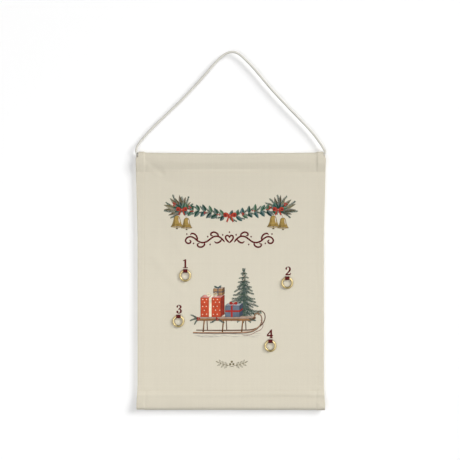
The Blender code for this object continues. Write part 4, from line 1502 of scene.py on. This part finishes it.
def draw_ribbon(ink, box, across_share, band, colour, layer, level=True):
    """A ribbon round a box: up its front, over its top, and level round its front and side."""
    left, low, width, height, lean = box
    right, high, rise = left + width, low + height, lean * BOX_RISE
    x = left + width * across_share
    shade = darker(colour, 0.3)
    a, b = x - band, x + band
    ink.wash([(a, low), (b, low), (b, high), (a, high)], colour, layer, shade)
    over = [(a, high), (b, high), (b + lean, high + rise), (a + lean, high + rise)]
    ink.wash(over, lighter(colour, 0.2), layer, shade)
    if level:
        a, b = low + height * 0.52 - band, low + height * 0.52 + band
        ink.wash([(left, a), (right, a), (right, b), (left, b)], colour, layer, shade)
        side = [(right, a), (right + lean, a + rise), (right + lean, b + rise), (right, b)]
        ink.wash(side, shade, layer, darker(shade, 0.3))
    draw_bow(ink, (x + lean / 2, high + rise / 2 + band), band * 4.6, colour, shade, layer + 1, tails=False)


def draw_tree(ink, foot, height, spread, layer):
    """A small fir in tiers of twigs, drawn from the lowest and darkest up to its tip."""
    x, z = foot
    trunk = [(x, z), (x + 0.6, z + height * 0.5), (x, z + height)]
    ink.stroke(trunk, [3.2, 2.0, 0.7], [SLEDGE_DARK, BARK], layer)
    tiers = 11
    for tier in range(tiers):
        share = tier / (tiers - 1)
        level = z + height * mix(0.10, 0.93, share)
        reach = spread * (1 - share) ** 0.85 + 4.0
        twigs = 7 if tier < tiers - 2 else 4
        for index in range(twigs):
            fan = mix(-1, 1, index / (twigs - 1))
            degrees = -90 + fan * mix(84, 66, share) + ink.chance.uniform(-5, 5)
            length = max(5.0, reach * (0.55 + 0.45 * abs(fan)) * ink.chance.uniform(0.88, 1.1))
            draw_fir_twig(ink, (x, level), degrees, length, layer + 1 + tier // 3,
                          needle=mix(5.6, 3.6, share), bend=0.16, spacing=1.25)
    for fan in (-18, 0, 18):
        draw_fir_twig(ink, (x, z + height * 0.93), 90 + fan, 7.5, layer + 5, needle=2.6, bend=0.05)


def print_sledge():
    """A wooden sledge with wrapped boxes and a small fir on it, on a dry brushed ground."""
    ink = PrintedInk(*SLEDGE_CENTRE, 5)
    chance = ink.chance
    for _ in range(34):
        x, z = chance.uniform(-70, 52), -60.5 + chance.uniform(-5.5, 2.5)
        long = chance.uniform(6, 22)
        middle_z, end_z = z + chance.uniform(-0.5, 0.5), z + chance.uniform(-0.6, 0.6)
        places = [(x, z), (x + long * 0.5, middle_z), (x + long, end_z)]
        widths = [0.3, chance.uniform(0.7, 1.5), 0.2]
        ink.stroke(places, widths, [GROUND_GREY, lighter(GROUND_GREY, 0.2)], chance.choice((0, 1)))
    draw_tree(ink, (31, -27), 88, 27, 1)
    runner = [(-64, -57), (-40, -57.5), (-10, -57.5), (20, -57.2), (38, -56.4), (50, -53), (60, -45),
              (64.5, -35), (63, -25.5), (56.5, -21), (51, -24), (52.5, -29)]
    runner = smooth_flat(runner, 2.0)
    far_runner = [(x + 6, z + 4.6) for x, z in runner]
    ink.stroke(far_runner, [1.6, 2.2, 2.2, 1.4], [darker(SLEDGE_DARK, 0.15), SLEDGE_DARK], 7)
    posts = (-44, -8, 28)
    for x in posts:
        ink.stroke([(x + 7, -52), (x + 6, -30)], [1.8, 1.6], [darker(SLEDGE_DARK, 0.1), SLEDGE_DARK], 7)
    blue_box = (-4, -28, 27, 21, 6)
    red_box = (-50, -28, 38, 36, 7)
    small_box = (-26, 12.5, 17, 12, 4)
    draw_box(ink, blue_box, BLUE_GREY, BLUE_DARK, 8)
    draw_ribbon(ink, blue_box, 0.46, 1.7, BERRY_RED, 11)
    draw_box(ink, red_box, ORANGE_RED, ORANGE_DARK, 8)
    for row, z in enumerate((-23, -15.5, -8, -0.5, 5)):
        for x in (-46, -39, -25.5, -18.5) if row % 2 == 0 else (-42.5, -22, -14.5):
            here = (x + chance.uniform(-0.5, 0.5), z + chance.uniform(-0.5, 0.5))
            draw_spot(ink, here, 0.95, CREAM_LIGHT, 10)
    draw_ribbon(ink, red_box, 0.48, 2.4, CREAM_LIGHT, 11, level=False)
    draw_box(ink, small_box, KRAFT, KRAFT_DARK, 13)
    draw_ribbon(ink, small_box, 0.5, 0.8, BLUE_DARK, 16)
    seat_top = [(-58, -31), (46, -31), (53, -26.5), (-50, -26.5)]
    seat_front = [(-58, -31), (46, -31), (46, -35), (-58, -35)]
    ink.wash(seat_top, lighter(SLEDGE_WOOD, 0.18), 7, SLEDGE_DARK)
    ink.wash(seat_front, SLEDGE_WOOD, 9, SLEDGE_DARK)
    ink.stroke([(46, -33), (53, -28.6)], [4.0, 3.6], [SLEDGE_DARK], 8)
    for rise in (-32.2, -33.1, -34.1):
        start = chance.uniform(-56, -30)
        ink.line([(start, rise), (start + 30, rise + 0.3), (start + 66, rise)], 0.28, SLEDGE_DARK, 10)
    for places in (seat_front, seat_top[:2]):
        for a, b in zip(places, places[1:]):
            ink.line([a, b], 0.45, DARK_LINE, 11)
    for x in posts:
        ink.stroke([(x - 1, -56), (x, -44), (x + 1, -35)], [2.6, 2.2, 2.8], [SLEDGE_DARK, SLEDGE_WOOD], 9)
        ink.line([(x - 2.2, -56), (x - 1.1, -44), (x - 0.2, -35)], 0.32, DARK_LINE, 10)
    ink.stroke(runner, [2.0, 3.2, 3.2, 3.0, 2.2, 1.6], [SLEDGE_WOOD], 10)
    ink.stroke([(x, z - 1.3) for x, z in runner[:-8]], [0.8, 0.9, 0.7], [BLUE_DARK, DARK_LINE], 11)
    ink.stroke([(x, z + 0.4) for x, z in runner[4:-6]], [0.3, 0.5, 0.3], [lighter(SLEDGE_WOOD, 0.3)], 11)
    rope = [(62, -33), (66, -39), (66.5, -46), (62, -52), (54, -55.5), (46, -60), (36, -62), (27, -61)]
    ink.line(rope, 0.9, BOW_DARK, 12)
    for x, z, degrees in ((-56, -31, 150), (-56, -31, 196), (-53, -31, 232), (-20, -31, 215), (-17, -31, 325),
                          (40, -30, 340)):
        draw_fir_twig(ink, (x, z), degrees, 13, 12, needle=3.4)
    draw_berries(ink, (-54, -31), 3, 15, 1.8)
    draw_berries(ink, (-18.5, -31.5), 3, 15, 1.6)
    draw_leaf(ink, (-18, 26), 150, 8, 3.4, LEAF_GREENS[0], 17)
    draw_leaf(ink, (-17, 26), 40, 8, 3.4, LEAF_GREENS[4], 17)
    ink.finish("printed_sledge")


def print_small_sprig():
    """Two short leafy twigs in fine pen, crossed under three berries, low on the cloth."""
    ink = PrintedInk(*SPRIG_CENTRE, 8)
    for flank in (-1, 1):
        stem = [(-flank * 4, -3.5), (flank * 6, -0.5), (flank * 15, 1.0), (flank * 24, 4.5)]
        ink.line(stem, 0.8, PEN_BROWN, 0)
        for x, z, level in ((8, -0.2, 6), (14, 0.8, 12), (20, 2.8, 20)):
            for spread in (-48, 44):
                along, side = pointing(mirrored(level + spread, -flank))
                foot = Vector((flank * x, z))
                for bulge in (-1.5, 0.0, 1.5):
                    ink.line([foot, foot + along * 4.0 + side * bulge, foot + along * 8.5], 0.5, PEN_BROWN, 1)
        for bulge in (4.8, 5.9, 7.0):
            ink.line([(flank * 24, 4.5), (flank * 26.8, bulge), (flank * 30, 7.5)], 0.5, PEN_BROWN, 1)
    for x, z in ((-3.0, 1.8), (3.0, 2.0), (0, 6.4)):
        draw_spot(ink, (x, z), 2.1, PEN_BROWN, 2)
    ink.finish("printed_sprig")


def entry(place):
    """Where a satin thread enters the cloth's front at a place."""
    return Vector((place.x, front_y(place.x, place.z) + SATIN_SINK, place.z))


def satin_line(work, places):
    """A curved line of slanting threads side by side, which narrows at its ends."""
    fine = smooth_points([(x, 0, z) for x, z in places], MILLIMETRE)
    length = length_of(fine)
    count = round(length / FLOURISH_PITCH)
    stops = even_points(fine, count + 1)
    for index, place in enumerate(stops):
        from_end = min(index / count, 1 - index / count) * length
        ahead = heading(stops, index)
        half = FLOURISH_WIDTH / 2 * mix(0.45, 1.0, ease(from_end / FLOURISH_TAPER))
        reach = (sideways(ahead) + ahead * 0.45) * half
        ends = entry(place - reach), entry(place + reach)
        work.stitch(*ends, SATIN_THREAD, FORWARD, SATIN_CROWN * (1.1 + 0.25 * math.sin(index * 1.7)))
        if index % 2 == 0:
            work.behind(*ends)


def stitch_flourish():
    """A symmetrical scroll in satin stitch with a heart in its middle and knots between its curls."""
    work = Needlework()
    curls = [
        [(0, -6.5), (4.2, -2.2), (7.0, 2.0), (6.6, 6.0), (3.6, 7.4), (0.6, 5.2), (0.0, 3.0)],
        [(9, -5), (14, 1), (21, 5.5), (29, 5), (36, 0.5), (43, -4.5), (51, -6), (59, -3), (65, 2),
         (72, 5), (79, 3), (82, -2.5), (79, -7), (74, -7), (72, -3.5), (74.5, -1)],
        [(20, 5), (22.5, 10.5), (28.5, 13.5), (34, 11.5), (34.5, 7.5), (31, 6.8)],
        [(46, -6), (47, -11), (52.5, -14.5), (58.5, -13), (59.5, -9), (56, -7.6)],
        [(60, -2.4), (60.5, 4), (64.5, 9.5), (70.5, 11), (73, 8.5)],
        [(14, 0.6), (18, -4.5), (24, -6.5), (28, -4)],
    ]
    for curl in curls:
        for flank in (-1, 1):
            satin_line(work, placed(curl, FLOURISH_CENTRE, MILLIMETRE, flank))
    knots = [(12.5, 8.5), (40.5, 5.0), (36, -9.5), (67, -7.5), (79.5, 10.0), (0.0, 13.5)]
    middle_row = (KNOT_ROWS - 1) / 2
    for spot in knots:
        for flank in (-1, 1) if spot[0] else (1,):
            x, z = placed([spot], FLOURISH_CENTRE, MILLIMETRE, flank)[0]
            for row in range(KNOT_ROWS):
                rise = (row - middle_row) / (middle_row + 0.3)
                place = Vector((x, 0, z + rise * KNOT_WIDTH / 2))
                half = Vector((KNOT_WIDTH / 2 * math.sqrt(1 - rise * rise), 0, 0))
                work.stitch(entry(place - half), entry(place + half), SATIN_THREAD, FORWARD, KNOT_CROWN)
    work.finish("stitched_flourish", RED_THREAD, "red_thread")


# Rings and dowels

def make_ring(number):
    """A ring of round brass wire, closed with a fine butt joint beside its lashing."""
    node = f"ring_{number}"
    centre = middle(node)
    wire = max(span(node, 1) / 2, LEAST_WIRE_RADIUS)
    mean = span(node, 0) / 2 - wire
    clear_selection()
    bpy.ops.mesh.primitive_torus_add(
        major_radius=mean, minor_radius=wire, major_segments=160, minor_segments=32,
        location=centre, rotation=(math.pi / 2, 0, 0),
    )
    ring = bpy.context.object
    bpy.ops.object.transform_apply(location=True, rotation=True)
    for vertex in ring.data.vertices:
        flat = Vector((vertex.co.x - centre.x, 0, vertex.co.z - centre.z))
        core = centre + flat.normalized() * mean
        from_joint = abs(math.atan2(flat.x, flat.z) - JOINT_ANGLE) * mean
        dent = JOINT_GROOVE * ridge(from_joint, JOINT_GROOVE)
        dent += WIRE_UNEVENNESS * noise.noise(vertex.co * 420)
        vertex.co = core + (vertex.co - core) * (1 - dent / wire)
    shade_smooth(ring)
    dress(ring, f"brass_ring_{number}", BRASS, f"gift_ring_{number}", "ring_brass", node)


def select_ends(rod, half):
    """Select the flat face at each end of a rod that lies along X."""
    shape = bmesh.from_edit_mesh(rod.data)
    for face in shape.faces:
        face.select_set(False)
    for face in shape.faces:
        from_end = abs(abs(face.calc_center_median().x) - half)
        if abs(face.normal.x) > 0.99 and from_end < END_TOLERANCE and len(face.verts) > 4:
            face.select_set(True)
    bmesh.update_edit_mesh(rod.data)


def make_dowel(name, node, body, hole_radius=None):
    """A turned rod with eased ends, and, where a hole radius is given, a blind hole in each end where a cord
    goes in.
    """
    half = DOWEL_LENGTH / 2
    clear_selection()
    bpy.ops.mesh.primitive_cylinder_add(
        vertices=64, radius=DOWEL_RADIUS, depth=DOWEL_LENGTH,
        location=middle(node), rotation=(0, math.pi / 2, 0),
    )
    rod = bpy.context.object
    bpy.ops.object.transform_apply(location=True, rotation=True)
    bpy.ops.object.mode_set(mode="EDIT")
    bpy.ops.mesh.select_mode(type="FACE")
    select_ends(rod, half)
    bpy.ops.mesh.bevel(offset=DOWEL_EASE, segments=4, affect="EDGES")
    select_ends(rod, half)
    bpy.ops.mesh.inset(thickness=DOWEL_END_RIM)
    if hole_radius:
        bpy.ops.mesh.inset(thickness=DOWEL_RADIUS - DOWEL_EASE - DOWEL_END_RIM - hole_radius)
        bpy.ops.mesh.extrude_region_shrink_fatten(TRANSFORM_OT_shrink_fatten={"value": -CORD_HOLE_DEPTH})
    bpy.ops.object.mode_set(mode="OBJECT")
    shade_smooth(rod, 30)
    dress(rod, name, BEECH, body, "dowel_wood", node)


add_camera()
make_cord()
CLOTH = make_canvas()
CLOTH_TREE = surface_tree(CLOTH)
STITCH_FORM = make_stitch_form()
sew_seams()
for NUMBER in RING_NUMBERS:
    work_number(NUMBER)
    make_lashing(NUMBER)
    make_ring(NUMBER)
make_dowel("top_rod", "top_dowel", "hanger", CORD_DIAMETER / 2 + CORD_HOLE_CLEARANCE)
make_dowel("bottom_rod", "bottom_dowel", "bottom_rod")
print_garland()
stitch_flourish()
print_sledge()
print_small_sprig()


# Stage, lights and world

STAGE_SIZE = 8.0
# Place, turn and own light of each pale plane
PLANES = {
    "wall": ((0, CLOTH_BACK_Y + WALL_GAP, -0.3), (math.pi / 2, 0, 0), 0.11),
    "floor": ((0, -1.0, -1.3), (0, 0, 0), 0.42),
}
# Place, aim, size and power of each square lamp
LAMPS = {
    "key": ((4.50, -4.15, 2.55), (0, 0, -0.4), 3.4, 335.0),
    "front": ((-1.4, -3.4, -0.7), (0, 0, -0.4), 2.6, 44.0),
    "low": ((-0.3, -1.4, -1.25), (0, 0, -0.45), 0.9, 4.0),
    "back": ((1.9, 2.4, 0.35), (0, 0, -0.4), 2.0, 96.0),
}


def seen_directly(tree):
    """1 for a ray that comes from the camera, a mirror or a clear piece, and 0 for soft light."""
    path = add_node(tree, "ShaderNodeLightPath")
    seen = calc(tree, "MAXIMUM", path.outputs["Is Camera Ray"], path.outputs["Is Glossy Ray"])
    return calc(tree, "MAXIMUM", seen, path.outputs["Is Transmission Ray"])


def make_stage_material(name, strength):
    """White where the light falls full on it, greyer in the object's shadow, and clear from behind."""
    material = bpy.data.materials.new(name)
    material.use_nodes = True
    tree = material.node_tree
    tree.nodes.clear()
    matt = add_node(tree, "ShaderNodeBsdfDiffuse", {"Color": (0.92, 0.92, 0.92, 1.0)})
    own_light = calc(tree, "MULTIPLY", seen_directly(tree), strength)
    glow = add_node(tree, "ShaderNodeEmission", {"Strength": own_light})
    lit = add_node(tree, "ShaderNodeAddShader")
    tree.links.new(matt.outputs[0], lit.inputs[0])
    tree.links.new(glow.outputs[0], lit.inputs[1])
    clear = add_node(tree, "ShaderNodeBsdfTransparent")
    facing = add_node(tree, "ShaderNodeNewGeometry")
    sides = add_node(tree, "ShaderNodeMixShader")
    tree.links.new(facing.outputs["Backfacing"], sides.inputs["Fac"])
    tree.links.new(lit.outputs[0], sides.inputs[1])
    tree.links.new(clear.outputs[0], sides.inputs[2])
    out = add_node(tree, "ShaderNodeOutputMaterial")
    tree.links.new(sides.outputs[0], out.inputs["Surface"])
    return material


def add_stage():
    for name, (place, turn, strength) in PLANES.items():
        clear_selection()
        bpy.ops.mesh.primitive_plane_add(size=STAGE_SIZE, location=place, rotation=turn)
        plane = bpy.context.object
        plane.name = name
        plane.data.materials.append(make_stage_material(f"{name} white", strength))
        plane.visible_diffuse = False
        plane.visible_shadow = False


def add_lamps():
    for name, (place, aim, size, power) in LAMPS.items():
        lamp = bpy.data.lights.new(name, "AREA")
        lamp.shape = "SQUARE"
        lamp.size = size
        lamp.energy = power
        light = add_object(name, lamp)
        light.location = place
        light.rotation_euler = (Vector(aim) - Vector(place)).to_track_quat("-Z", "Y").to_euler()


def add_world():
    world = bpy.data.worlds.new("studio")
    bpy.context.scene.world = world
    world.use_nodes = True
    tree = world.node_tree
    background = tree.nodes["Background"]
    background.inputs["Color"].default_value = (1.0, 1.0, 1.0, 1.0)
    put(tree, background.inputs["Strength"], ramp(tree, seen_directly(tree), 0.0, 1.0, 0.22, 1.0))


add_stage()
add_world()
add_lamps()
bpy.context.scene.view_settings.view_transform = "Standard"
